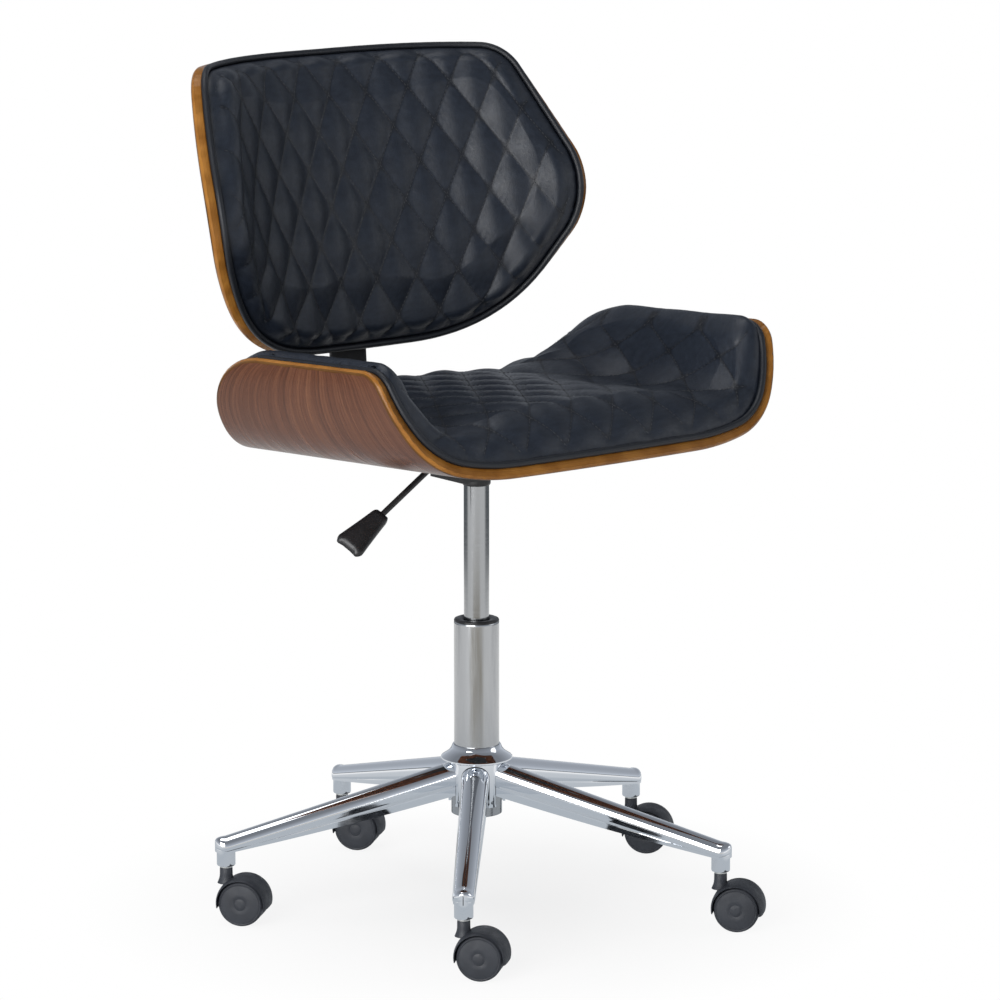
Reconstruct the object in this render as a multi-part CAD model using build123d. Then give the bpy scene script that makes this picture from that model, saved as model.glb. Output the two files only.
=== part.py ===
from build123d import *
import math
import os

# A swivel task chair: two bent plywood shells with quilted pads, on a gas lift and a five-legged base.
# Sizes are in millimetres. The origin is on the floor under the column, +Z is up, the sitter faces -Y
# and +X is the sitter's left.

# Clearances
RUNNING_FIT = 0.05
SEATING_GAP = 0.1
BODY_GAP = 0.3
CUT_PAST = 1

# Casters
WHEEL_DIAMETER = 50
WHEEL_WIDTH = 16.5
WHEEL_DOME_RADIUS = 160
WHEEL_EDGE_RADIUS = 3
WHEEL_RIM = 4.5
WHEEL_FACE = 4
WHEEL_HUB_DIAMETER = 13
CASTER_TRAIL = 20
AXLE_DIAMETER = 6
FORK_WEB = 6
FORK_BOSS_DIAMETER = 16
HOOD_WALL = 2.5
HOOD_DROP = 5
TREAD_CLEARANCE = 1.5
NECK_DIAMETER = 14
NECK_HEIGHT = 62
PIVOT_DIAMETER = 8
PIVOT_LENGTH = 17
STEM_DIAMETER = 11
STEM_LENGTH = 22
STEM_COLLAR = 2

# Five-legged base
LEG_COUNT = 5
FIRST_LEG_ANGLE = -131
TRAIL_ANGLE = -50.5
BASE_RADIUS = 285
SOCKET_DIAMETER = 20.5
SOCKET_LENGTH = 16
SPIGOT_DIAMETER = 16
SPIGOT_LENGTH = 12
LEG_CAP = 3
LEG_WALL = 2
LEG_ROOT_WIDTH = 27
LEG_ROOT_BOTTOM = 121
LEG_ROOT_HEIGHT = 42
LEG_ARCH = 0.45

# Hub
HUB_DIAMETER = 64
HUB_WALL = 2.5
HUB_BOTTOM = 127
HUB_TOP = 165
HUB_TAB_WIDTH = 10
HUB_TAB_DROP = 11
HUB_TAB_HOLE = 4
ARCH_MARGIN = 2
CORE_WALL = 3
COLLAR_RIM_DIAMETER = 79
COLLAR_RIM = 4
COLLAR_TOP_DIAMETER = 53
COLLAR_HEIGHT = 18

# Gas lift
TUBE_DIAMETER = 50
TUBE_WALL = 1.5
TUBE_BOTTOM = 105
TUBE_TOP = 322
TUBE_FLOOR = 3
BUSH_DEPTH = 30
BUSH_LIP = 3
CYLINDER_DIAMETER = 28
CYLINDER_WALL = 1.5
CYLINDER_BOTTOM = 272
CYLINDER_TOP = 493
CYLINDER_PLUG = 14
GLAND_LENGTH = 10
ROD_DIAMETER = 10
ROD_SHOULDER_DIAMETER = 15
ROD_SHOULDER = 3
PISTON_LENGTH = 10
BEARING_DIAMETER = 32
BEARING_HEIGHT = 6
CLIP_DIAMETER = 18
CLIP_THICKNESS = 2
ROD_TAIL = 2

# Seat carrier
SEAT_TILT = 3.5
SEAT_Y = -4.5
SEAT_HEIGHT = 517.5
CARRIER_PLATE = 3
CARRIER_WIDTH = 170
CARRIER_LENGTH = 220
PAN_WIDTH = 84
PAN_LENGTH = 56
PAN_FLOOR = 485
TAPER_SOCKET_DIAMETER = 31.4
TAPER_SOCKET_BOTTOM = 475
TAPER_SOCKET_TOP = 490
TAPER_SOCKET_CHAMFER = 1.5

# Fasteners
BOLT_DIAMETER = 6
BOLT_HEAD_DIAMETER = 11
BOLT_HEAD = 4
BOLT_HOLE = 6.6
SEAT_BOLT_X = 70
SEAT_BOLT_Y = 92
BRACKET_BOLT_X = 14
BRACKET_BOLT_Y = 86
BACK_BOLT_HEIGHTS = (-85, -5)
NUT_FLANGE_DIAMETER = 18
NUT_FLANGE = 1.2
NUT_BARREL_DIAMETER = 8
NUT_SETBACK = 2.5

# Height lever
LEVER_DIAMETER = 6.5
LEVER_HEIGHT = 503
LEVER_PIVOT_X = -30
LEVER_BEND_X = -60
LEVER_DROP_X = -129
LEVER_DROP_Z = 458
LEVER_BEND_RADIUS = 16
LEVER_BOSS_DIAMETER = 11
LEVER_BOSS_LENGTH = 14
LEVER_NOSE_LENGTH = 8
LEVER_SLOT_MARGIN = 3.5
LEVER_PIN_DIAMETER = 5
LEVER_EAR = 3
LEVER_EAR_WIDTH = 14
BUTTON_DIAMETER = 8
BUTTON_LENGTH = 12
PADDLE_LENGTH = 58
PADDLE_ROOT_WIDTH = 19
PADDLE_END_WIDTH = 35
PADDLE_THICKNESS = 5
PADDLE_BOSS_DIAMETER = 11
PADDLE_BOSS_LENGTH = 24
PADDLE_SCALLOP = 3
PADDLE_ROLL = -40

# Seat shell, measured on its lower face across the chair and along the seat
PLY = 12
SEAT_FLAT = 124
SEAT_BENDS = ((300, 13), (92, 45), (160, 32))
SEAT_FRONT = 225.5
SEAT_FRONT_RADIUS = 2283
SEAT_REAR = 205
SEAT_REAR_RADIUS = 472
WING_HEIGHT = 120.5
WING_FRONT_RADIUS = 30

# Back shell, measured on its front face from a point in its middle
BACK_Y = 251.8
BACK_Z = 763.7
BACK_RECLINE = 14.6
BACK_BENDS = ((370, 20), (245, 46))
BACK_TOP = 166
BACK_BOTTOM = 168
BACK_SHOULDER = 228
BACK_SHOULDER_RADIUS = 58
BACK_ELBOW = 315
BACK_ELBOW_HEIGHT = -32
BACK_ELBOW_RADIUS = 82
BACK_HEEL = 166
BACK_HEEL_RADIUS = 240
BACK_TRIM_ANGLE = 48

# Pads
SEAT_PAD = 36
SEAT_PAD_ROUND = 20
BACK_PAD = 27
BACK_PAD_ROUND = 14
PAD_INSET = 5
ROUND_STEPS = 3
WELT = 8
WELT_OVERHANG = 3.5
WELT_ROUND = 2
QUILT_DEPTH = 3.5
QUILT_WIDTH = 2.6
QUILT_ACROSS = 52
QUILT_ALONG = 85.3
SEAT_QUILT_PHASES = (0.87, 0.66)
BACK_QUILT_PHASES = (0.41, 0.89)

# Back bracket
BRACKET_WIDTH = 50
BRACKET_THICKNESS = 6
BRACKET_START = 64
BRACKET_UPRIGHT_Y = 233
BRACKET_FOOT_RADIUS = 30
BRACKET_LEAN_RADIUS = 80
BRACKET_LEAN_HEIGHT = -110
BRACKET_END_HEIGHT = 25

# Worked-out sizes
wheel_radius = WHEEL_DIAMETER / 2
hood_inner = wheel_radius + TREAD_CLEARANCE
hood_outer = hood_inner + HOOD_WALL
wheel_inside = FORK_WEB / 2 + BODY_GAP
caster_half_width = wheel_inside + WHEEL_WIDTH
socket_bottom = NECK_HEIGHT + BODY_GAP + STEM_COLLAR
leg_end_bottom = socket_bottom + SOCKET_LENGTH
leg_end_top = leg_end_bottom + SPIGOT_LENGTH + LEG_CAP
tube_bore = TUBE_DIAMETER - 2 * TUBE_WALL
cylinder_bore = CYLINDER_DIAMETER - 2 * CYLINDER_WALL
core_radius = TUBE_DIAMETER / 2 + SEATING_GAP + CORE_WALL
bearing_top = TUBE_BOTTOM + TUBE_FLOOR + BEARING_HEIGHT
gland_top = CYLINDER_BOTTOM + GLAND_LENGTH
button_top = LEVER_HEIGHT - LEVER_DIAMETER / 2 - BODY_GAP

SEAT = Pos(0, SEAT_Y, SEAT_HEIGHT) * Rot(-SEAT_TILT, 0, 0)
BACK = Pos(0, BACK_Y, BACK_Z) * Rot(-BACK_RECLINE, 0, 0)
FACING = Plane((0, 0, 0), x_dir=(1, 0, 0), z_dir=(0, 0, -1))

parts = {}


def disc(diameter, bottom, top):
    return Pos(0, 0, (bottom + top) / 2) * Cylinder(diameter / 2, top - bottom)


def ring(outer, inner, bottom, top):
    return disc(outer, bottom, top) - disc(inner, bottom - CUT_PAST, top + CUT_PAST)


def drum(diameter, length):
    """A cylinder that lies along Y, centred on the origin."""
    return Rot(90, 0, 0) * Cylinder(diameter / 2, length)


def leg_angle(index):
    return FIRST_LEG_ANGLE + index * 360 / LEG_COUNT


def at_leg(index):
    return Rot(0, 0, leg_angle(index))


def group(solids):
    return Compound(children=[solid.solid() for solid in solids])


# Caster wheels: a hollow wheel with a slightly domed outer face, turning on a blind bore
def wheel():
    width = WHEEL_WIDTH
    body = Cylinder(wheel_radius, width)
    body = fillet(body.edges(), WHEEL_EDGE_RADIUS)
    body &= Pos(0, 0, width / 2 - WHEEL_DOME_RADIUS) * Sphere(WHEEL_DOME_RADIUS)
    pocket_depth = width - WHEEL_FACE
    pocket = Cylinder(wheel_radius - WHEEL_RIM, pocket_depth) - Cylinder(WHEEL_HUB_DIAMETER / 2, pocket_depth)
    bore = Cylinder(AXLE_DIAMETER / 2 + RUNNING_FIT, pocket_depth)
    return body - Pos(0, 0, -WHEEL_FACE / 2) * (pocket + bore)


# Caster hood: a half-round cover over both wheels, a web between them and the swivel neck
def caster_hood():
    at_axle = Pos(CASTER_TRAIL, 0, wheel_radius)
    width = 2 * caster_half_width
    hood = at_axle * (drum(2 * hood_outer, width) - drum(2 * hood_inner, width))
    neck = disc(NECK_DIAMETER, wheel_radius, NECK_HEIGHT) - at_axle * drum(2 * hood_inner, width)
    web = at_axle * drum(2 * hood_inner, FORK_WEB)
    below = Pos(CASTER_TRAIL, 0, -HOOD_DROP) * Box(4 * hood_outer, 2 * width, 2 * wheel_radius)
    boss = at_axle * drum(FORK_BOSS_DIAMETER, FORK_WEB)
    body = hood + neck + web - below + boss
    body -= at_axle * drum(AXLE_DIAMETER, width)
    pivot_bottom = NECK_HEIGHT - PIVOT_LENGTH - BODY_GAP
    return body - disc(PIVOT_DIAMETER + 2 * RUNNING_FIT, pivot_bottom, NECK_HEIGHT + CUT_PAST)


def caster_axle():
    length = 2 * (wheel_inside + WHEEL_WIDTH - WHEEL_FACE - BODY_GAP)
    return Pos(CASTER_TRAIL, 0, wheel_radius) * drum(AXLE_DIAMETER, length)


def caster_stem():
    pivot = disc(PIVOT_DIAMETER, NECK_HEIGHT - PIVOT_LENGTH, NECK_HEIGHT + BODY_GAP)
    collar = disc(NECK_DIAMETER, NECK_HEIGHT + BODY_GAP, socket_bottom)
    stem = disc(STEM_DIAMETER, socket_bottom, socket_bottom + STEM_LENGTH)
    return pivot + collar + stem


def caster_socket():
    sleeve = disc(SOCKET_DIAMETER, socket_bottom, leg_end_bottom)
    spigot = disc(SPIGOT_DIAMETER, leg_end_bottom, leg_end_bottom + SPIGOT_LENGTH)
    bore_top = socket_bottom + STEM_LENGTH + BODY_GAP
    bore = disc(STEM_DIAMETER + 2 * RUNNING_FIT, socket_bottom - CUT_PAST, bore_top)
    return sleeve + spigot - bore


axle_y = wheel_inside + WHEEL_WIDTH / 2
stems = []
sockets = []
for leg in range(LEG_COUNT):
    at_socket = at_leg(leg) * Pos(BASE_RADIUS, 0, 0)
    at_caster = at_socket * Rot(0, 0, TRAIL_ANGLE - leg_angle(leg))
    at_wheels = at_caster * Pos(CASTER_TRAIL, 0, wheel_radius)
    name = f"caster_{leg + 1}"
    parts[f"{name}_hood"] = at_caster * caster_hood()
    parts[f"{name}_axle"] = at_caster * caster_axle()
    parts[f"{name}_wheel_left"] = at_wheels * Pos(0, axle_y, 0) * Rot(-90, 0, 0) * wheel()
    parts[f"{name}_wheel_right"] = at_wheels * Pos(0, -axle_y, 0) * Rot(90, 0, 0) * wheel()
    stems.append(at_socket * caster_stem())
    sockets.append(at_socket * caster_socket())
parts["caster_stems"] = group(stems)
parts["caster_sockets"] = group(sockets)


# Legs: tapered channels with an arched top, open below, that end in a cap over the caster socket
def leg_section(x, width, bottom, top):
    half = width / 2
    spring = top - LEG_ARCH * width
    outline = [
        Line((-half, spring), (-half, bottom)),
        Line((-half, bottom), (half, bottom)),
        Line((half, bottom), (half, spring)),
        ThreePointArc((half, spring), (0, top), (-half, spring)),
    ]
    return Plane((x, 0, 0), x_dir=(0, 1, 0), z_dir=(1, 0, 0)) * make_face(outline)


def leg_loft(start, end, margin, open_below=0):
    """The leg's outer form, grown by a margin, or shrunk by a negative one."""
    root_top = LEG_ROOT_BOTTOM + LEG_ROOT_HEIGHT
    sections = []
    for x in (start, end):
        share = (x - core_radius) / (BASE_RADIUS - core_radius)
        width = LEG_ROOT_WIDTH + share * (SOCKET_DIAMETER - LEG_ROOT_WIDTH)
        bottom = LEG_ROOT_BOTTOM + share * (leg_end_bottom - LEG_ROOT_BOTTOM)
        top = root_top + share * (leg_end_top - root_top)
        sections.append(leg_section(x, width + 2 * margin, bottom - margin - open_below, top + margin))
    return loft(sections, ruled=True)


def base_leg():
    outer = leg_loft(core_radius - CORE_WALL, BASE_RADIUS, 0)
    cap = Pos(BASE_RADIUS, 0, 0) * disc(SOCKET_DIAMETER, leg_end_bottom, leg_end_top)
    cap = fillet(cap.edges().group_by(Axis.Z)[-1], LEG_CAP)
    hollow_end = BASE_RADIUS - SOCKET_DIAMETER / 2 - LEG_WALL
    hollow = leg_loft(0, hollow_end, -LEG_WALL, 2 * LEG_WALL + LEG_ROOT_HEIGHT)
    spigot_top = leg_end_bottom + SPIGOT_LENGTH
    spigot = disc(SPIGOT_DIAMETER + 2 * RUNNING_FIT, leg_end_bottom - CUT_PAST, spigot_top)
    below = Pos(BASE_RADIUS, 0, 0) * disc(2 * SOCKET_DIAMETER, 0, leg_end_bottom)
    core = disc(2 * (core_radius + RUNNING_FIT), 0, 2 * HUB_TOP)
    return outer + cap - hollow - Pos(BASE_RADIUS, 0, 0) * spigot - below - core


for leg in range(LEG_COUNT):
    parts[f"base_leg_{leg + 1}"] = at_leg(leg) * base_leg()


# Hub: a skirt with an arch round each leg and a drilled tab between legs, a core tube and a bell collar
def hub_skirt():
    skirt = ring(HUB_DIAMETER, HUB_DIAMETER - 2 * HUB_WALL, HUB_BOTTOM - HUB_TAB_DROP, HUB_TOP)
    tabs = []
    holes = []
    for index in range(LEG_COUNT):
        between = at_leg(index + 0.5)
        middle = Pos(HUB_DIAMETER / 2, 0, HUB_BOTTOM - HUB_TAB_DROP / 2)
        tabs.append(between * middle * Box(HUB_DIAMETER / 2, HUB_TAB_WIDTH, HUB_TAB_DROP))
        holes.append(between * middle * Rot(0, 90, 0) * Cylinder(HUB_TAB_HOLE / 2, HUB_DIAMETER / 2))
    skirt -= disc(HUB_DIAMETER + 2, 0, HUB_BOTTOM) - tabs
    skirt += ring(HUB_DIAMETER, 2 * core_radius + SEATING_GAP, HUB_TOP - HUB_WALL, HUB_TOP)
    arches = [at_leg(index) * leg_loft(0, HUB_DIAMETER, ARCH_MARGIN) for index in range(LEG_COUNT)]
    return skirt - holes - arches


def hub_collar():
    bore = TUBE_DIAMETER / 2 + SEATING_GAP
    rim = COLLAR_RIM_DIAMETER / 2
    outline = Polyline(
        (bore, HUB_TOP),
        (HUB_DIAMETER / 2, HUB_TOP),
        (rim, HUB_TOP + COLLAR_RIM / 2),
        (rim, HUB_TOP + COLLAR_RIM),
        (COLLAR_TOP_DIAMETER / 2, HUB_TOP + COLLAR_HEIGHT),
        (bore, HUB_TOP + COLLAR_HEIGHT),
        close=True,
    )
    return revolve(Plane.XZ * make_face(outline), Axis.Z)


parts["hub_skirt"] = hub_skirt()
parts["hub_core"] = ring(2 * core_radius, TUBE_DIAMETER + 2 * SEATING_GAP, TUBE_BOTTOM, HUB_TOP)
parts["hub_collar"] = hub_collar()


# Gas lift: outer tube with its floor and bush, a rod that hangs on a thrust bearing, and the cylinder
def column_tube():
    tube = ring(TUBE_DIAMETER, tube_bore, TUBE_BOTTOM, TUBE_TOP)
    return tube + ring(TUBE_DIAMETER, ROD_DIAMETER + 2 * BODY_GAP, TUBE_BOTTOM, TUBE_BOTTOM + TUBE_FLOOR)


def column_bush():
    bore = CYLINDER_DIAMETER + 2 * RUNNING_FIT
    body = ring(tube_bore - 2 * RUNNING_FIT, bore, TUBE_TOP - BUSH_DEPTH, TUBE_TOP)
    return body + ring(TUBE_DIAMETER, bore, TUBE_TOP, TUBE_TOP + BUSH_LIP)


def piston_rod():
    clip_bottom = TUBE_BOTTOM - BODY_GAP - CLIP_THICKNESS
    rod = disc(ROD_DIAMETER, clip_bottom - ROD_TAIL, gland_top + BODY_GAP)
    shoulder_bottom = bearing_top + BODY_GAP
    return rod + disc(ROD_SHOULDER_DIAMETER, shoulder_bottom, shoulder_bottom + ROD_SHOULDER)


def rod_clip():
    top = TUBE_BOTTOM - BODY_GAP
    return ring(CLIP_DIAMETER, ROD_DIAMETER + 2 * RUNNING_FIT, top - CLIP_THICKNESS, top)


def gas_cylinder():
    wall = ring(CYLINDER_DIAMETER, cylinder_bore, CYLINDER_BOTTOM, CYLINDER_TOP)
    button_bore = BUTTON_DIAMETER + 2 * RUNNING_FIT
    return wall + ring(CYLINDER_DIAMETER, button_bore, CYLINDER_TOP - CYLINDER_PLUG, CYLINDER_TOP)


def taper_socket():
    sleeve = disc(TAPER_SOCKET_DIAMETER, TAPER_SOCKET_BOTTOM, TAPER_SOCKET_TOP)
    sleeve = chamfer(sleeve.edges().group_by(Axis.Z)[0], TAPER_SOCKET_CHAMFER)
    return sleeve - disc(CYLINDER_DIAMETER + 2 * RUNNING_FIT, 0, 2 * TAPER_SOCKET_TOP)


parts["column_tube"] = column_tube()
parts["column_bush"] = column_bush()
bearing_bottom = TUBE_BOTTOM + TUBE_FLOOR
parts["thrust_bearing"] = ring(BEARING_DIAMETER, ROD_DIAMETER + 2 * BODY_GAP, bearing_bottom, bearing_top)
parts["piston_rod"] = piston_rod()
parts["rod_clip"] = rod_clip()
piston_bottom = gland_top + BODY_GAP
parts["piston"] = disc(cylinder_bore - 2 * RUNNING_FIT, piston_bottom, piston_bottom + PISTON_LENGTH)
parts["gas_cylinder"] = gas_cylinder()
gland_bore = ROD_DIAMETER + 2 * RUNNING_FIT
parts["cylinder_gland"] = ring(cylinder_bore - 2 * RUNNING_FIT, gland_bore, CYLINDER_BOTTOM, gland_top)
parts["taper_socket"] = taper_socket()
parts["release_button"] = disc(BUTTON_DIAMETER, button_top - BUTTON_LENGTH, button_top)


# Fasteners: a bolt along +Z through a plate and the plywood, into a flanged nut let into the far face
def bolt(plates):
    head = disc(BOLT_HEAD_DIAMETER, -plates - BOLT_HEAD, -plates)
    return head + disc(BOLT_DIAMETER, -plates, PLY - NUT_FLANGE)


def tee_nut():
    seat = PLY - NUT_FLANGE - SEATING_GAP
    barrel = disc(NUT_BARREL_DIAMETER, NUT_SETBACK, seat)
    flange = disc(NUT_FLANGE_DIAMETER, seat, seat + NUT_FLANGE)
    return barrel + flange - disc(BOLT_DIAMETER + 2 * RUNNING_FIT, 0, PLY)


def nut_pocket():
    hole = disc(NUT_BARREL_DIAMETER + 2 * SEATING_GAP, -PLY, 2 * PLY)
    return hole + disc(NUT_FLANGE_DIAMETER + 2 * SEATING_GAP, PLY - NUT_FLANGE - SEATING_GAP, 2 * PLY)


seat_bolt_places = [
    SEAT * Pos(x, y, 0)
    for x in (-SEAT_BOLT_X, SEAT_BOLT_X)
    for y in (-SEAT_BOLT_Y, SEAT_BOLT_Y)
]
bracket_bolt_places = [SEAT * Pos(x, BRACKET_BOLT_Y, 0) for x in (-BRACKET_BOLT_X, BRACKET_BOLT_X)]
back_bolt_places = [
    BACK * Pos(x, PLY, height) * Rot(90, 0, 0)
    for x in (-BRACKET_BOLT_X, BRACKET_BOLT_X)
    for height in BACK_BOLT_HEIGHTS
]
bracket_stack = CARRIER_PLATE + BRACKET_THICKNESS
back_stack = BRACKET_THICKNESS + SEATING_GAP
parts["seat_bolts"] = group([place * bolt(CARRIER_PLATE) for place in seat_bolt_places])
parts["bracket_bolts"] = group([place * bolt(bracket_stack) for place in bracket_bolt_places])
parts["back_bolts"] = group([place * bolt(back_stack) for place in back_bolt_places])
parts["seat_tee_nuts"] = group([place * tee_nut() for place in seat_bolt_places + bracket_bolt_places])
parts["back_tee_nuts"] = group([place * tee_nut() for place in back_bolt_places])


# Seat carrier: a flange under the seat and a pan that holds the taper socket and the lever's pivot
def seat_carrier():
    flange = SEAT * Pos(0, 0, -CARRIER_PLATE / 2) * Box(CARRIER_WIDTH, CARRIER_LENGTH, CARRIER_PLATE)
    pan_height = SEAT_HEIGHT - PAN_FLOOR
    rise = Pos(0, 0, PAN_FLOOR + pan_height)
    pan = rise * Box(PAN_WIDTH, PAN_LENGTH, 2 * pan_height)
    inside = PAN_WIDTH - 2 * CARRIER_PLATE, PAN_LENGTH - 2 * CARRIER_PLATE
    hollow = Pos(0, 0, CARRIER_PLATE) * rise * Box(*inside, 2 * pan_height)
    above = SEAT * Pos(0, 0, pan_height) * Box(2 * CARRIER_WIDTH, 2 * CARRIER_LENGTH, 2 * pan_height)
    ear_height = LEVER_HEIGHT + LEVER_BOSS_DIAMETER / 2 - PAN_FLOOR
    ear_y = LEVER_BOSS_LENGTH / 2 + BODY_GAP + LEVER_EAR / 2
    ear = Pos(LEVER_PIVOT_X, 0, PAN_FLOOR + ear_height / 2) * Box(LEVER_EAR_WIDTH, LEVER_EAR, ear_height)
    ears = [Pos(0, side * ear_y, 0) * ear for side in (-1, 1)]
    body = flange + pan - hollow - above + ears
    body -= Pos(LEVER_PIVOT_X, 0, LEVER_HEIGHT) * drum(LEVER_PIN_DIAMETER + 2 * RUNNING_FIT, PAN_LENGTH / 2)
    slot = LEVER_DIAMETER + 2 * LEVER_SLOT_MARGIN
    body -= Pos(-PAN_WIDTH / 2, 0, LEVER_HEIGHT) * Box(4 * CARRIER_PLATE, slot, slot)
    body -= disc(TAPER_SOCKET_DIAMETER + 2 * RUNNING_FIT, 0, SEAT_HEIGHT)
    holes = [place * disc(BOLT_HOLE, -2 * BOLT_HEAD, PLY) for place in seat_bolt_places + bracket_bolt_places]
    return body - holes


parts["seat_carrier"] = seat_carrier()
pin_length = LEVER_BOSS_LENGTH + 2 * BODY_GAP + 2 * LEVER_EAR
parts["lever_pin"] = Pos(LEVER_PIVOT_X, 0, LEVER_HEIGHT) * drum(LEVER_PIN_DIAMETER, pin_length)


# Height lever: a bent rod that rocks on its pin and presses the button with its nose, and a paddle
lever_slope = math.degrees(math.atan2(LEVER_HEIGHT - LEVER_DROP_Z, LEVER_BEND_X - LEVER_DROP_X))
AT_PADDLE = Pos(LEVER_DROP_X, 0, LEVER_DROP_Z) * Rot(0, 180 - lever_slope, 0)


def lever_rod():
    end = AT_PADDLE * Pos(PADDLE_BOSS_LENGTH - BODY_GAP, 0, 0)
    path = FilletPolyline(
        (0, 0, LEVER_HEIGHT),
        (LEVER_BEND_X, 0, LEVER_HEIGHT),
        tuple(end.position),
        radius=LEVER_BEND_RADIUS,
    )
    rod = sweep(Plane(path @ 0, z_dir=path % 0) * Circle(LEVER_DIAMETER / 2), path=path)
    nose = Pos(0, 0, LEVER_HEIGHT) * drum(LEVER_DIAMETER, LEVER_NOSE_LENGTH)
    at_pin = Pos(LEVER_PIVOT_X, 0, LEVER_HEIGHT)
    boss = at_pin * drum(LEVER_BOSS_DIAMETER, LEVER_BOSS_LENGTH)
    return rod + nose + boss - at_pin * drum(LEVER_PIN_DIAMETER + 2 * RUNNING_FIT, 2 * LEVER_BOSS_LENGTH)


def lever_paddle():
    root = PADDLE_ROOT_WIDTH / 2
    half = PADDLE_END_WIDTH / 2
    third = half / 3
    dip = PADDLE_LENGTH - PADDLE_SCALLOP
    outline = [
        Line((0, -root), (0, root)),
        Line((0, root), (dip, half)),
        ThreePointArc((dip, half), (PADDLE_LENGTH, 2 * third), (dip, third)),
        ThreePointArc((dip, third), (dip - PADDLE_SCALLOP / 3, 0), (dip, -third)),
        ThreePointArc((dip, -third), (PADDLE_LENGTH, -2 * third), (dip, -half)),
        Line((dip, -half), (0, -root)),
    ]
    plate = extrude(make_face(outline), PADDLE_THICKNESS / 2, both=True)
    boss_middle = Pos(PADDLE_BOSS_LENGTH / 2, 0, 0) * Rot(0, 90, 0)
    boss = boss_middle * Cylinder(PADDLE_BOSS_DIAMETER / 2, PADDLE_BOSS_LENGTH)
    bore = boss_middle * Cylinder(LEVER_DIAMETER / 2 + RUNNING_FIT, PADDLE_BOSS_LENGTH)
    return AT_PADDLE * Rot(PADDLE_ROLL, 0, 0) * (plate + boss - bore)


parts["lever_rod"] = lever_rod()
parts["lever_paddle"] = lever_paddle()


# Bent boards: the section is a flat and a chain of tangent bends, the same on both sides of the middle
def bend_arcs(flat, bends):
    """Centre, radius, first heading and turn of each bend, on the right of the middle."""
    heading = 0
    centre = Vector(flat, bends[0][0])
    last_radius = bends[0][0]
    arcs = []
    for radius, degrees in bends:
        turn = math.radians(degrees)
        centre += Vector(math.sin(heading), -math.cos(heading)) * (last_radius - radius)
        arcs.append((centre, radius, heading, turn))
        heading += turn
        last_radius = radius
    return arcs


def bend_point(arc, share, depth):
    """Place and heading at a share of a bend, a depth in from the outer face."""
    centre, radius, heading, turn = arc
    heading += share * turn
    return centre + Vector(math.sin(heading), -math.cos(heading)) * (radius - depth), heading


def station(bends, along):
    """Place on the outer face of a board without a flat, at a length from the middle."""
    arcs = bend_arcs(0, bends)
    left = along
    for arc in arcs[:-1]:
        length = arc[1] * arc[3]
        if left <= length:
            return bend_point(arc, left / length, 0)[0]
        left -= length
    return bend_point(arcs[-1], left / (arcs[-1][1] * arcs[-1][3]), 0)[0]


def half_curve(flat, bends, depth):
    """Right half of the section at a depth in from the outer face."""
    edges = []
    if flat:
        edges.append(Line((0, depth), (flat, depth)))
    for arc in bend_arcs(flat, bends):
        edges.append(ThreePointArc(*[bend_point(arc, share, depth)[0] for share in (0, 0.5, 1)]))
    return edges


def trimmed(faces, trim):
    kept = []
    for face in faces:
        kept += ShapeList([face.intersect(trim)]).faces()
    return kept


def both_halves(shapes):
    return shapes + [shape.mirror(Plane.YZ) for shape in shapes]


def thick_board(faces, thickness, focus):
    """A board of even thickness that grows from its right half's faces towards the focus."""
    halves = []
    for face in faces:
        middle = face.position_at(0.5, 0.5)
        towards = focus - middle
        sign = 1 if face.normal_at(middle).dot(towards) > 0 else -1
        halves.append(Solid.thicken(face, sign * thickness))
    solids = both_halves(halves)
    return solids[0].fuse(*solids[1:]).clean().solid()


def half_rim(faces):
    """Outer edges of the right half of a skin, in order from the middle round to the middle."""
    edges = [edge for face in faces for edge in face.edges()]
    middles = [edge @ 0.5 for edge in edges]
    outer = []
    for edge, middle in zip(edges, middles):
        shared = sum((middle - other).length < SEATING_GAP for other in middles) > 1
        if not shared and middle.X > SEATING_GAP:
            outer.append(edge)
    return Wire(outer).order_edges()


def cushion(skin, levels):
    """A closed solid through the rims of a stack of skins, each at a depth and an edge margin."""
    skins = [skin(depth, margin) for depth, margin in levels]
    rims = [half_rim(faces) for faces in skins]
    faces = skins[0] + skins[-1]
    for lower, upper in zip(rims, rims[1:]):
        faces += [Face.make_surface_from_curves(*pair) for pair in zip(lower, upper)]
    return Solid(Shell(both_halves(faces)))


def rounded_levels(base, thickness, rounding, inset):
    """Straight sides and a rounded shoulder."""
    levels = [(base, -inset)]
    for step in range(ROUND_STEPS + 1):
        angle = math.pi / 2 * step / ROUND_STEPS
        rise = thickness - rounding + rounding * math.sin(angle)
        levels.append((base + rise, -inset - rounding * (1 - math.cos(angle))))
    return levels


def welted_levels(base, thickness, rounding):
    """A welt round the foot, sides drawn in above it and a rounded shoulder."""
    edge = WELT_OVERHANG - WELT_ROUND
    welt = [(0, edge), (WELT_ROUND, WELT_OVERHANG), (WELT - WELT_ROUND, WELT_OVERHANG), (WELT, edge)]
    levels = [(base + rise, margin) for rise, margin in welt]
    levels.append((base + WELT, -PAD_INSET))
    return levels + rounded_levels(base, thickness, rounding, PAD_INSET)[1:]


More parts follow.
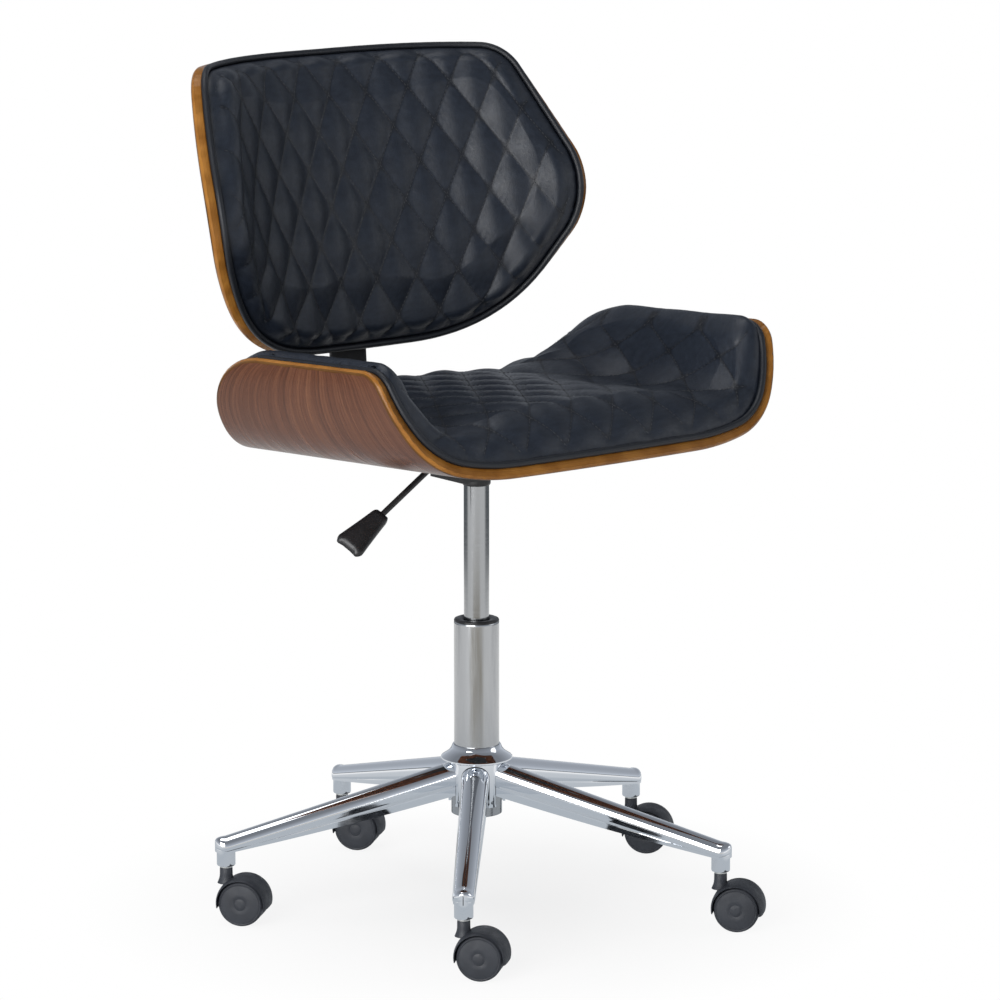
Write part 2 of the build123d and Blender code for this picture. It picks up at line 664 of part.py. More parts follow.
def quilt_stretches(flat, bends, depth):
    """Ends, middle heading, lengths along the surface and sag of each stretch of the section."""
    stretches = [(Vector(-flat, depth), Vector(flat, depth), 0, -flat, flat, 0)] if flat else []
    reach = flat
    for arc in bend_arcs(flat, bends):
        radius = arc[1] - depth
        start = bend_point(arc, 0, depth)[0]
        end, _ = bend_point(arc, 1, depth)
        heading = bend_point(arc, 0.5, depth)[1]
        sag = radius * (1 - math.cos(arc[3] / 2))
        length = radius * arc[3]
        stretches.append((start, end, heading, reach, reach + length, sag))
        ends = Vector(-end.X, end.Y), Vector(-start.X, start.Y)
        stretches.append((*ends, -heading, -reach - length, -reach, sag))
        reach += length
    return stretches


def quilt_slabs(stretches, first, last, phases, frame):
    """Thin slabs along both diagonals of the quilting, between two places along the board."""
    pitch = QUILT_ALONG / QUILT_ACROSS
    rows = math.ceil((max(stretch[4] for stretch in stretches) * pitch + last - first) / QUILT_ALONG)
    slabs = []
    for lean, phase in zip((-1, 1), phases):
        for row in range(-rows, rows + 1):
            middle = (row + phase) * QUILT_ALONG
            for start, end, heading, start_length, end_length, sag in stretches:
                places = middle + lean * pitch * start_length, middle + lean * pitch * end_length
                if max(places) < first or min(places) > last:
                    continue
                near = frame.from_local_coords(Vector(start.X, start.Y, places[0]))
                far = frame.from_local_coords(Vector(end.X, end.Y, places[1]))
                upward = frame.from_local_coords(Vector(-math.sin(heading), math.cos(heading))) - frame.origin
                run = far - near
                slab = Box(run.length + QUILT_WIDTH / 2, QUILT_WIDTH, 2 * (sag + 2 * QUILT_DEPTH))
                slabs.append((Plane((near + far) / 2, x_dir=run, z_dir=upward) * slab).solid())
    return slabs


def quilted_pad(skin, base, thickness, rounding, slabs):
    """A welted cushion with channels, left standing on a smaller cushion that sets their depth."""
    inner_round = rounding - QUILT_DEPTH
    inner = cushion(skin, rounded_levels(base, thickness - QUILT_DEPTH, inner_round, PAD_INSET + QUILT_DEPTH))
    blocks = cushion(skin, welted_levels(base, thickness, rounding)).cut(*slabs)
    return inner.fuse(*blocks.solids()).solid()


# Seat: trimmed by its outline seen from above and, on the wings, by the outline seen from the side.
# The front edge leaves the plan outline where the second bend starts, the rear edge where it ends.
def seat_plan(x, margin):
    """Front and rear edge of the seat, and their slopes, at a distance from the middle."""
    front_radius = SEAT_FRONT_RADIUS + margin
    rear_radius = SEAT_REAR_RADIUS + margin
    front_reach = math.sqrt(front_radius**2 - x**2)
    rear_reach = math.sqrt(rear_radius**2 - x**2)
    front = front_radius - SEAT_FRONT - margin - front_reach
    rear = SEAT_REAR + margin - rear_radius + rear_reach
    return (front, x / front_reach), (rear, -x / rear_reach)


def seat_trims(depth, margin):
    reach = 2 * SEAT_FRONT
    top = WING_HEIGHT + margin
    second_bend = bend_arcs(SEAT_FLAT, SEAT_BENDS)[1]
    front_place, front_heading = bend_point(second_bend, 0, depth)
    rear_place, rear_heading = bend_point(second_bend, 1, depth)
    front_y, front_slope = seat_plan(front_place.X, margin)[0]
    rear_y, rear_slope = seat_plan(rear_place.X, margin)[1]
    front_lean = front_slope / math.tan(front_heading)
    rear_turn = math.pi / 2 - math.atan(-rear_slope / math.tan(rear_heading))
    rear_radius = (top - rear_place.Y) / (1 - math.cos(rear_turn))
    rear_start = rear_y - rear_radius * math.sin(rear_turn)
    half_turn = rear_turn / 2
    half_drop = rear_radius * (1 - math.cos(half_turn))
    rear_middle = rear_start + rear_radius * math.sin(half_turn), top - half_drop
    wing_front = FilletPolyline(
        (-reach, front_place.Y),
        (front_y, front_place.Y),
        (front_y + front_lean * (top - front_place.Y), top),
        (rear_start, top),
        radius=[0, WING_FRONT_RADIUS],
    )
    below = Polyline(
        (rear_y, rear_place.Y),
        (reach, rear_place.Y),
        (reach, -reach),
        (-reach, -reach),
        (-reach, front_place.Y),
    )
    rear_arc = ThreePointArc((rear_start, top), rear_middle, (rear_y, rear_place.Y))
    side = make_face([*wing_front.edges(), rear_arc, *below.edges()])
    wide = SEAT_FLAT + 2 * WING_HEIGHT
    (front_side, _), (rear_side, _) = seat_plan(wide, margin)
    plan = make_face([
        ThreePointArc((-wide, front_side), (0, -SEAT_FRONT - margin), (wide, front_side)),
        Line((wide, front_side), (wide, rear_side)),
        ThreePointArc((wide, rear_side), (0, SEAT_REAR + margin), (-wide, rear_side)),
        Line((-wide, rear_side), (-wide, front_side)),
    ])
    return extrude(Plane.YZ * side, reach, both=True), extrude(plan, reach, both=True)


def seat_skin(depth, margin):
    reach = 2 * SEAT_FRONT
    strips = []
    for edge in half_curve(SEAT_FLAT, SEAT_BENDS, depth):
        front_edge = (Pos(0, -reach, 0) * (Plane.XZ * edge)).edge()
        strips.append(Face.extrude(front_edge, Vector(0, 2 * reach, 0)))
    side, plan = seat_trims(depth, margin)
    return trimmed(trimmed(strips, side), plan)


# Back: each half is trimmed along a slanted direction, so that its edge is nearly square to the board
def back_outline(margin):
    trim = math.radians(BACK_TRIM_ANGLE)

    def across(along):
        place = station(BACK_BENDS, along)
        return place.X * math.cos(trim) + place.Y * math.sin(trim), place.Y

    shoulder, shoulder_depth = across(BACK_SHOULDER)
    elbow, _ = across(BACK_ELBOW)
    heel, _ = across(BACK_HEEL)
    fall = shoulder_depth * math.tan(math.radians(BACK_RECLINE))
    top_radius = (shoulder**2 + fall**2) / (2 * fall)
    half_way = shoulder / 2
    half_fall = top_radius - math.sqrt(top_radius**2 - half_way**2)
    outline = make_face([
        Line((-heel, BACK_TOP), (-heel, -BACK_BOTTOM)),
        Line((-heel, -BACK_BOTTOM), (heel, -BACK_BOTTOM)),
        Line((heel, -BACK_BOTTOM), (elbow, BACK_ELBOW_HEIGHT)),
        Line((elbow, BACK_ELBOW_HEIGHT), (shoulder, BACK_TOP - fall)),
        ThreePointArc((shoulder, BACK_TOP - fall), (half_way, BACK_TOP - half_fall), (0, BACK_TOP)),
        Line((0, BACK_TOP), (-heel, BACK_TOP)),
    ])
    for corner, radius in (
        ((heel, -BACK_BOTTOM), BACK_HEEL_RADIUS),
        ((elbow, BACK_ELBOW_HEIGHT), BACK_ELBOW_RADIUS),
        ((shoulder, BACK_TOP - fall), BACK_SHOULDER_RADIUS),
    ):
        outline = fillet(outline.vertices().sort_by_distance((*corner, 0))[0], radius)
    return offset(outline, margin)


def back_skin(depth, margin):
    reach = BACK_TOP + BACK_BOTTOM
    strips = []
    for edge in half_curve(0, BACK_BENDS, depth):
        low_edge = (Pos(0, 0, -reach) * (FACING * edge)).edge()
        strips.append(Face.extrude(low_edge, Vector(0, 0, 2 * reach)))
    trim = math.radians(BACK_TRIM_ANGLE)
    slant = Plane(
        (0, 0, 0),
        x_dir=(math.cos(trim), -math.sin(trim), 0),
        z_dir=(-math.sin(trim), -math.cos(trim), 0),
    )
    return trimmed(strips, extrude(slant * back_outline(margin), reach, both=True))


seat_focus = Vector(0, 0, SEAT_FLAT + 2 * WING_HEIGHT)
back_focus = Vector(0, -BACK_BENDS[-1][0], 0)
seat_board = SEAT * thick_board(seat_skin(0, 0), PLY, seat_focus)
back_board = BACK * thick_board(back_skin(-PLY, 0), PLY, back_focus)
parts["seat_shell"] = seat_board - [place * nut_pocket() for place in seat_bolt_places + bracket_bolt_places]
parts["back_shell"] = back_board - [place * nut_pocket() for place in back_bolt_places]

seat_pad_base = PLY + SEATING_GAP
seat_slabs = quilt_slabs(
    quilt_stretches(SEAT_FLAT, SEAT_BENDS, seat_pad_base + SEAT_PAD),
    -SEAT_REAR,
    SEAT_FRONT,
    SEAT_QUILT_PHASES,
    Plane.XZ,
)
back_slabs = quilt_slabs(
    quilt_stretches(0, BACK_BENDS, SEATING_GAP + BACK_PAD),
    -BACK_TOP,
    BACK_BOTTOM,
    BACK_QUILT_PHASES,
    FACING,
)
parts["seat_pad"] = SEAT * quilted_pad(seat_skin, seat_pad_base, SEAT_PAD, SEAT_PAD_ROUND, seat_slabs)
parts["back_pad"] = BACK * quilted_pad(back_skin, SEATING_GAP, BACK_PAD, BACK_PAD_ROUND, back_slabs)


# Back bracket: a flat bar from under the carrier, bent up behind the seat and along the back
def back_bracket():
    def seat_point(y, z):
        return (SEAT * Pos(0, y, z)).position

    def back_point(y, z):
        return (BACK * Pos(0, y, z)).position

    under = -CARRIER_PLATE - BRACKET_THICKNESS / 2
    behind = PLY + SEATING_GAP + BRACKET_THICKNESS / 2
    start = seat_point(BRACKET_START, under)
    run = seat_point(BRACKET_UPRIGHT_Y, under)
    path = FilletPolyline(
        start,
        run,
        back_point(behind, BRACKET_LEAN_HEIGHT),
        back_point(behind, BRACKET_END_HEIGHT),
        radius=[BRACKET_FOOT_RADIUS, BRACKET_LEAN_RADIUS],
    )
    section = Plane(path @ 0, x_dir=(1, 0, 0), z_dir=path % 0) * Rectangle(BRACKET_WIDTH, BRACKET_THICKNESS)
    bar = sweep(section, path=path)
    holes = [place * disc(BOLT_HOLE, -4 * BOLT_HEAD, PLY) for place in bracket_bolt_places + back_bolt_places]
    return bar - holes


parts["back_bracket"] = back_bracket()

os.makedirs("parts", exist_ok=True)
for name, shape in parts.items():
    export_step(shape, f"parts/{name}.step")
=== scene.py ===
# %% [markdown]
# A task chair: a bent plywood seat and back with quilted pads, on a gas lift and a chromed five-star base.
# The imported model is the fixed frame. Every piece below is made in that frame, in metres, and rides on one
# of its bodies, so that the chair can swivel, rise, roll and work its lever.

# %% Load the frame
import math
from contextlib import contextmanager

import bpy
import numpy as np
from mathutils import Matrix, Vector
from mathutils.bvhtree import BVHTree
from mathutils.kdtree import KDTree


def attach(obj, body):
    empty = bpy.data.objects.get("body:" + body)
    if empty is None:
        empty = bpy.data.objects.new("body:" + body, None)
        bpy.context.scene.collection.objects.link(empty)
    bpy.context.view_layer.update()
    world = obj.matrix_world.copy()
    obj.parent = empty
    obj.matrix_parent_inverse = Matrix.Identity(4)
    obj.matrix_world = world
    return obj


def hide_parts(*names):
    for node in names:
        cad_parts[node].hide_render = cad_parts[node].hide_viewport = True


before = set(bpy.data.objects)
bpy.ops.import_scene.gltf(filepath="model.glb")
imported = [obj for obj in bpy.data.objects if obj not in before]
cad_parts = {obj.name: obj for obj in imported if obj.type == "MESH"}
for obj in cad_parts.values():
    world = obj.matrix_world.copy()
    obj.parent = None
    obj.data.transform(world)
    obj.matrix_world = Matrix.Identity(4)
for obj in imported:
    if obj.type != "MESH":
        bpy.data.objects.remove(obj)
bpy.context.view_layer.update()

MM = 0.001

# %% [markdown]
# The camera comes first, because the likeness is judged through it. It stands to the left of the chair's
# front, a little above the seat, and far away, so that the legs of the base keep nearly parallel lines.

# %% Camera
CAMERA_PLACE = (-3.2825, -4.1682, 1.5176)
CAMERA_TURN, CAMERA_PITCH = -38.5, 78.7
CAMERA_SENSOR, CAMERA_LENS, CAMERA_FAR = 36, 177.55, 60
bpy.ops.object.camera_add(
    location=CAMERA_PLACE,
    rotation=(math.radians(CAMERA_PITCH), 0, math.radians(CAMERA_TURN)),
)
camera = bpy.context.object
camera.data.sensor_width = CAMERA_SENSOR
camera.data.lens = CAMERA_LENS
camera.data.clip_end = CAMERA_FAR
bpy.context.scene.camera = camera
bpy.context.scene.view_settings.view_transform = "Standard"
print("camera at", CAMERA_PLACE, "with a lens of", CAMERA_LENS, "mm")

# %% [markdown]
# The floor, the room and every finish are nets of nodes. A small class adds a node, sets its values and
# links what comes from other nodes, so that a finish reads as a short list of its steps.


# %% A net of nodes
class Net:
    """The nodes of one material or of the world, with short ways to add the usual steps."""

    def __init__(self, tree):
        self.nodes, self.links = tree.nodes, tree.links

    def feed(self, node, inputs):
        """Link what comes from another node, and set everything else as a value."""
        for name, value in inputs.items():
            socket = node.inputs[name]
            if isinstance(value, bpy.types.NodeSocket):
                self.links.new(value, socket)
            else:
                socket.default_value = (*value, 1) if socket.type == "RGBA" else value

    def add(self, kind, inputs, **settings):
        node = self.nodes.new("ShaderNode" + kind)
        for name, value in settings.items():
            setattr(node, name, value)
        self.feed(node, inputs)
        return node

    def place(self):
        return self.add("TexCoord", {}).outputs["Object"]

    def flat_place(self):
        return self.add("UVMap", {}).outputs[0]

    def stored(self, name):
        return self.add("Attribute", {}, attribute_name=name).outputs["Fac"]

    def stretched(self, place, scale):
        return self.add("Mapping", {"Vector": place, "Scale": scale}).outputs[0]

    def maths(self, operation, one, other):
        return self.add("Math", {0: one, 1: other}, operation=operation).outputs[0]

    def product(self, value, *others):
        for other in others:
            value = self.maths("MULTIPLY", value, other)
        return value

    def ranged(self, value, limits):
        """0 at the first limit and before it, 1 at the second and beyond it."""
        low, high = limits
        return self.add("MapRange", {"Value": value, "From Min": low, "From Max": high}).outputs[0]

    def mixed(self, share, one, other, blend="MIX"):
        inputs = {"Factor": share, "A": one, "B": other}
        return self.add("Mix", inputs, data_type="RGBA", blend_type=blend).outputs["Result"]

    def either(self, share, one, other):
        return self.add("MixShader", {0: share, 1: one, 2: other}).outputs[0]

    def ramp(self, value, stops, interpolation="LINEAR"):
        """A value turned into a grey or a colour, through stops of a position and a grey or a colour."""
        node = self.add("ValToRGB", {0: value})
        node.color_ramp.interpolation = interpolation
        elements = node.color_ramp.elements
        elements[0].position, elements[1].position = stops[0][0], stops[-1][0]
        for position, _ in stops[1:-1]:
            elements.new(position)
        for element, (_, colour) in zip(elements, stops):
            element.color = (*colour, 1) if isinstance(colour, tuple) else (colour, colour, colour, 1)
        return node.outputs[0]

    def noise_ramp(self, place, scale, low, high, detail=4, stops=(0.35, 0.65)):
        """Noise at a place, turned into a grey or a colour between low and high."""
        noise = self.add("TexNoise", {"Vector": place, "Scale": scale, "Detail": detail})
        return self.ramp(noise.outputs["Fac"], list(zip(stops, (low, high))))

    def bumped(self, shader, height, strength, distance, below=None):
        bump = self.add("Bump", {"Height": height, "Strength": strength, "Distance": distance})
        if below is not None:
            self.feed(bump, {"Normal": below})
        self.feed(shader, {"Normal": bump.outputs[0]})
        return bump.outputs[0]


def new_material(name, colour, roughness=0.6):
    material = bpy.data.materials.new(name)
    material.use_nodes = True
    net = Net(material.node_tree)
    shader = net.nodes["Principled BSDF"]
    net.feed(shader, {"Base Color": colour, "Roughness": roughness})
    return material, net, shader


# %% [markdown]
# A studio is a white floor, a big soft light overhead and to each side, and a ceiling that is darker than
# the walls. Chrome has no colour of its own, so the dark ceiling is what draws the lines along the legs.
# The floor is white to the eye. What chrome sees of it is greyer under the chair and far to the sides, with
# a brownish strip in front, as from a card on a studio's floor, which draws the dark line on the column.

# %% Floor
FLOOR_SIZE, FLOOR_DROP = 40, 0.0004
FLOOR_WHITE, FLOOR_ROUGHNESS = (0.93, 0.93, 0.93), 0.9
DARK_STRIP = (0.42, 0.38, 0.31)
DARK_SIDES = (0.17, 0.185, 0.20)
UNDER_CHAIR = (0.50, 0.54, 0.58)
TOWARDS_CAMERA = (-0.6225, -0.7826, 0)
SHADOW_FADE, NEAR_CHAIR = (-1.2, 0.45), (0.85, 0.5)
STRIP_TURN, STRIP_START, STRIP_END = (0.78, 0.92), (0.7, 0.9), (1.75, 1.55)
SIDES_TURN, SIDES_START = (0.25, -0.1), (1.6, 1.9)


def fading_floor():
    """White paper that keeps the shadow near the chair and fades into the white of the room."""
    material, net, shader = new_material("studio_white", FLOOR_WHITE, FLOOR_ROUGHNESS)
    spot = net.place()
    away = net.add("VectorMath", {0: spot}, operation="LENGTH").outputs["Value"]
    unit = net.add("VectorMath", {0: spot}, operation="NORMALIZE").outputs[0]
    facing = net.add("VectorMath", {0: unit, 1: TOWARDS_CAMERA}, operation="DOT_PRODUCT").outputs["Value"]
    rays = net.add("LightPath", {}).outputs
    in_mirror, in_view = rays["Is Glossy Ray"], rays["Is Camera Ray"]
    fade, near = net.ranged(away, SHADOW_FADE), net.ranged(away, NEAR_CHAIR)
    strip = net.product(net.ranged(facing, STRIP_TURN), net.ranged(away, STRIP_START))
    strip = net.product(strip, net.ranged(away, STRIP_END))
    beside = net.product(net.ranged(facing, SIDES_TURN), net.ranged(away, SIDES_START))
    mirrored = net.product(net.maths("MAXIMUM", fade, strip), in_mirror)
    share = net.maths("ADD", mirrored, net.product(fade, in_view))
    room = (1, 1, 1)
    for part, colour in ((strip, DARK_STRIP), (beside, DARK_SIDES), (near, UNDER_CHAIR)):
        room = net.mixed(net.product(part, in_mirror), room, colour)
    glow = net.add("Emission", {"Color": room})
    surface = net.either(share, shader.outputs[0], glow.outputs[0])
    net.feed(net.nodes["Material Output"], {"Surface": surface})
    return material


bpy.ops.mesh.primitive_plane_add(size=FLOOR_SIZE, location=(0, 0, -FLOOR_DROP))
floor = bpy.context.object
floor.name = "studio_floor"
floor.data.materials.append(fading_floor())
print("floor", FLOOR_SIZE, "m wide")

# %% Lamps
SEAT_MIDDLE = (0, 0, 0.55)
LAMPS = (
    ("overhead", (-0.3, 0.5, 3.0), 1.6, 20),
    ("left_side", (-3.0, -1.2, 1.4), 2.4, 116),
    ("right_side", (2.6, -2.2, 1.6), 1.6, 9),
)

for name, place, size, watts in LAMPS:
    bpy.ops.object.light_add(type="AREA", location=place)
    lamp = bpy.context.object
    lamp.name = name
    lamp.data.size = size
    lamp.data.energy = watts
    lamp.rotation_mode = "QUATERNION"
    lamp.rotation_quaternion = (Vector(SEAT_MIDDLE) - Vector(place)).to_track_quat("-Z", "Y")
    print("lamp", name, watts, "W")

# %% The room
CEILING = ((0.04, (0.60, 0.64, 0.70)), (0.24, (0.42, 0.45, 0.50)), (0.75, (0.21, 0.225, 0.25)))
FILL_LIGHT, FILL_STRENGTH = (0.93, 0.96, 1.0), 0.18

world = bpy.data.worlds.new("studio")
bpy.context.scene.world = world
world.use_nodes = True
net = Net(world.node_tree)
net.nodes.clear()
direction = net.add("TexCoord", {}).outputs["Generated"]
height = net.add("SeparateXYZ", {0: direction}).outputs["Z"]
mirrored = net.add("Background", {"Color": net.ramp(height, CEILING)}).outputs[0]
lighting = net.add("Background", {"Color": FILL_LIGHT, "Strength": FILL_STRENGTH}).outputs[0]
seen = net.add("Background", {"Color": (1, 1, 1)}).outputs[0]
rays = net.add("LightPath", {}).outputs
unseen = net.either(rays["Is Glossy Ray"], lighting, mirrored)
net.add("OutputWorld", {"Surface": net.either(rays["Is Camera Ray"], unseen, seen)})
print("room with", len(net.nodes), "nodes")

# %% [markdown]
# Finishes. In each one a place on the surface goes into a noise, the noise goes through a ramp, and the
# ramp sets the colour, the gloss or the bump. Metals and plastics read the place in the object; wood and
# leather read the piece's own flat map, so that grain and hide follow the bends.


# %% Metals and plastics
def metal(name, colour, rough_low, rough_high, scale, stretch=(1, 1, 1)):
    material, net, shader = new_material(name, colour)
    place = net.stretched(net.place(), stretch)
    net.feed(shader, {"Metallic": 1, "Roughness": net.noise_ramp(place, scale, rough_low, rough_high)})
    return material


def textured(name, dark, light, rough_low, rough_high, grain, bump):
    """A dull coat: blotchy in the large, pebbled in the small."""
    material, net, shader = new_material(name, light)
    place = net.place()
    net.feed(shader, {
        "Base Color": net.noise_ramp(place, 40, dark, light),
        "Roughness": net.noise_ramp(place, 90, rough_low, rough_high),
    })
    net.bumped(shader, net.noise_ramp(place, grain, 0.0, 1.0, 2, (0.2, 0.8)), bump, 0.0003)
    return material


chrome, satin, polished, zinc = metals = [metal(*recipe) for recipe in (
    ("chrome_plate", (0.80, 0.82, 0.85), 0.035, 0.075, 35),
    ("satin_tube", (0.43, 0.44, 0.45), 0.17, 0.27, 60, (9, 9, 0.35)),
    ("polished_rod", (0.37, 0.38, 0.39), 0.12, 0.20, 60, (0.4, 0.4, 14)),
    ("zinc_plate", (0.62, 0.62, 0.60), 0.28, 0.42, 120),
)]
caster_plastic, smooth_plastic, bush_plastic, powder = coats = [textured(*recipe) for recipe in (
    ("caster_plastic", (0.019, 0.0215, 0.028), (0.028, 0.0315, 0.040), 0.46, 0.62, 2600, 0.35),
    ("lever_plastic", (0.010, 0.010, 0.011), (0.016, 0.016, 0.018), 0.30, 0.42, 1800, 0.15),
    ("bush_plastic", (0.008, 0.008, 0.009), (0.013, 0.013, 0.014), 0.35, 0.5, 900, 0.1),
    ("powder_coat", (0.010, 0.010, 0.011), (0.017, 0.017, 0.018), 0.38, 0.55, 1700, 0.3),
)]
print("finishes", [material.name for material in metals + coats])

# %% [markdown]
# Walnut veneer is long streaks of brown with dark pores, under lacquer. On this chair the grain runs round
# the bend of the board. The board's cut edge is amber, with the thin lines of its seven layers.


# %% Wood
LAYERS = 7
WALNUT_TONES = ((0.30, (0.060, 0.0235, 0.0135)), (0.5, (0.104, 0.040, 0.022)), (0.72, (0.165, 0.070, 0.036)))
AMBER_DARK, AMBER_LIGHT = (0.250, 0.098, 0.0155), (0.365, 0.158, 0.031)


def walnut_veneer():
    material, net, shader = new_material("walnut_veneer", (0.15, 0.065, 0.04), 0.3)
    flat = net.flat_place()
    wavy, along_grain = net.stretched(flat, (2.4, 88, 1)), net.stretched(flat, (60, 1500, 1))
    waves = {"Vector": wavy, "Scale": 1.0, "Detail": 7, "Roughness": 0.62, "Distortion": 0.55}
    tones = net.ramp(net.add("TexNoise", waves).outputs["Fac"], WALNUT_TONES)
    pores = net.noise_ramp(along_grain, 1.0, 0.45, 1.0, 2, (0.30, 0.44))
    net.feed(shader, {
        "Base Color": net.mixed(0.75, tones, pores, "MULTIPLY"),
        "Roughness": net.noise_ramp(wavy, 2.0, 0.26, 0.40),
        "Specular IOR Level": 0.1, "Coat Weight": 0.06, "Coat Roughness": 0.14,
    })
    net.bumped(shader, pores, 0.12, 0.0002)
    return material


def plywood_edge():
    material, net, shader = new_material("plywood_edge", (0.42, 0.19, 0.05), 0.3)
    stops = [(0.0, 0.30), (0.07, 0.42), (0.10, 1.0)]
    for number in range(1, LAYERS):
        start = number / LAYERS
        stops += [(start, 0.78 if number % 2 else 0.90), (start + 0.045, 1.0), (start + 0.10, 0.94)]
    lines = net.ramp(net.stored("layer"), stops + [(1.0, 0.9)], "EASE")
    place = net.place()
    amber = net.noise_ramp(place, 38, AMBER_DARK, AMBER_LIGHT, 6)
    net.feed(shader, {
        "Base Color": net.mixed(1.0, amber, lines, "MULTIPLY"),
        "Specular IOR Level": 0.15, "Coat Weight": 0.15, "Coat Roughness": 0.12,
    })
    net.bumped(shader, net.noise_ramp(place, 600, 0.0, 1.0, 3), 0.06, 0.0002)
    return material


walnut, ply_edge = walnut_veneer(), plywood_edge()
print("wood", walnut.name, ply_edge.name)

# %% [markdown]
# The covers are black grained leather. The grain is a net of small cells about a millimetre across. Down in
# each seam the colour is darkened, as painted shade in the crease between two puffs.


# %% Leather and thread
# Painted shade in the seams: the grey that the leather's colour is multiplied by in a seam, and how far up
# the puff it reaches.
SEAM_PAINTED_SHADE, SEAM_PAINTED_SHADE_REACH = (0.30, 0.30, 0.32), 0.14


def grained_leather(name, dark, light, grain_scale):
    material, net, shader = new_material(name, light, 0.42)
    flat = net.flat_place()
    cells = net.add("TexVoronoi", {"Vector": flat, "Scale": grain_scale}, feature="DISTANCE_TO_EDGE")
    creases = net.ramp(cells.outputs["Distance"], ((0.0, 0.0), (0.22, 1.0)))
    # painted shade: the colour darkens in the creases of the seams, read from the pad's puff share
    seams = net.ramp(net.stored("puff"), ((0.0, SEAM_PAINTED_SHADE), (SEAM_PAINTED_SHADE_REACH, 1.0)))
    net.feed(shader, {
        "Base Color": net.mixed(1.0, net.noise_ramp(flat, 55, dark, light, 5), seams, "MULTIPLY"),
        "Roughness": net.noise_ramp(flat, 140, 0.34, 0.46),
        "Specular IOR Level": 0.38,
    })
    swell = net.bumped(shader, net.noise_ramp(flat, 260, 0.0, 1.0, 3), 0.10, 0.0006)
    net.bumped(shader, creases, 0.16, 0.0003, swell)
    return material


leather = grained_leather("quilted_leather", (0.0092, 0.0127, 0.0206), (0.0142, 0.0192, 0.0300), 900)
welt_leather = grained_leather("welt_leather", (0.0075, 0.0090, 0.0125), (0.0110, 0.0130, 0.0175), 1000)
thread = textured("black_thread", (0.016, 0.018, 0.022), (0.034, 0.038, 0.046), 0.5, 0.7, 4000, 0.4)
print("covers", leather.name, welt_leather.name, thread.name)

# %% [markdown]
# Turned pieces. The collar, the tube, the bush and the wheels are all made on a lathe, so each starts as a
# circle that is pulled up and scaled, ring by ring. A rim has two or three rings close together, which make
# the small rounding that catches the light.


# %% Picking, closing and smoothing
def pick(*objects):
    bpy.ops.object.select_all(action="DESELECT")
    for piece in objects:
        piece.select_set(True)
    bpy.context.view_layer.objects.active = objects[0]


@contextmanager
def editing(piece, chosen="SELECT"):
    """Edit mode on one piece, with all or none of it chosen."""
    pick(piece)
    bpy.ops.object.mode_set(mode="EDIT")
    bpy.ops.mesh.select_all(action=chosen)
    yield
    bpy.ops.object.mode_set(mode="OBJECT")


def close_mesh(piece, gap=1e-6):
    with editing(piece):
        bpy.ops.mesh.remove_doubles(threshold=gap)
        bpy.ops.mesh.normals_make_consistent(inside=False)


def close_rims(piece, close=bpy.ops.mesh.edge_face_add):
    """Close the open edges of a piece with an operator that fills or bridges them."""
    with editing(piece, "DESELECT"):
        bpy.ops.mesh.select_mode(type="EDGE")
        bpy.ops.mesh.select_non_manifold()
        close()
        bpy.ops.mesh.select_all(action="SELECT")
        bpy.ops.mesh.normals_make_consistent(inside=False)


def smooth(piece, angle=40):
    pick(piece)
    bpy.ops.object.shade_smooth_by_angle(angle=math.radians(angle))


# %% Turning on a lathe
def turned(name, rings, sides=96):
    """A closed ring of revolution through (radius, height) points in mm; radius 0 closes it on the axis."""
    bpy.ops.object.select_all(action="DESELECT")
    radius, height = rings[0]
    bpy.ops.mesh.primitive_circle_add(vertices=sides, radius=radius * MM, location=(0, 0, height * MM))
    piece = bpy.context.object
    piece.name = name
    bpy.ops.object.transform_apply(location=True, rotation=True, scale=True)
    with editing(piece):
        for next_radius, next_height in rings[1:]:
            rise = (0, 0, (next_height - height) * MM)
            bpy.ops.mesh.extrude_region_move(TRANSFORM_OT_translate={"value": rise})
            share = next_radius / radius
            bpy.ops.transform.resize(value=(share, share, 1), center_override=(0, 0, next_height * MM))
            radius, height = next_radius, next_height
    close_mesh(piece, 1e-7)
    return piece


# %% Copying and dressing
def copy_of(piece, name, matrix):
    """A second piece with a mesh of its own, moved by a matrix in the mesh."""
    twin = piece.copy()
    twin.data = piece.data.copy()
    twin.name = name
    twin.data.transform(matrix)
    bpy.context.scene.collection.objects.link(twin)
    return twin


def dress(piece, body, slot, material, node=None):
    """Give a finished piece its finish and its body, and hide the node that it replaces. The slot is not
    used.
    """
    piece.data.materials.clear()
    piece.data.materials.append(material)
    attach(piece, body)
    if node:
        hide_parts(node)


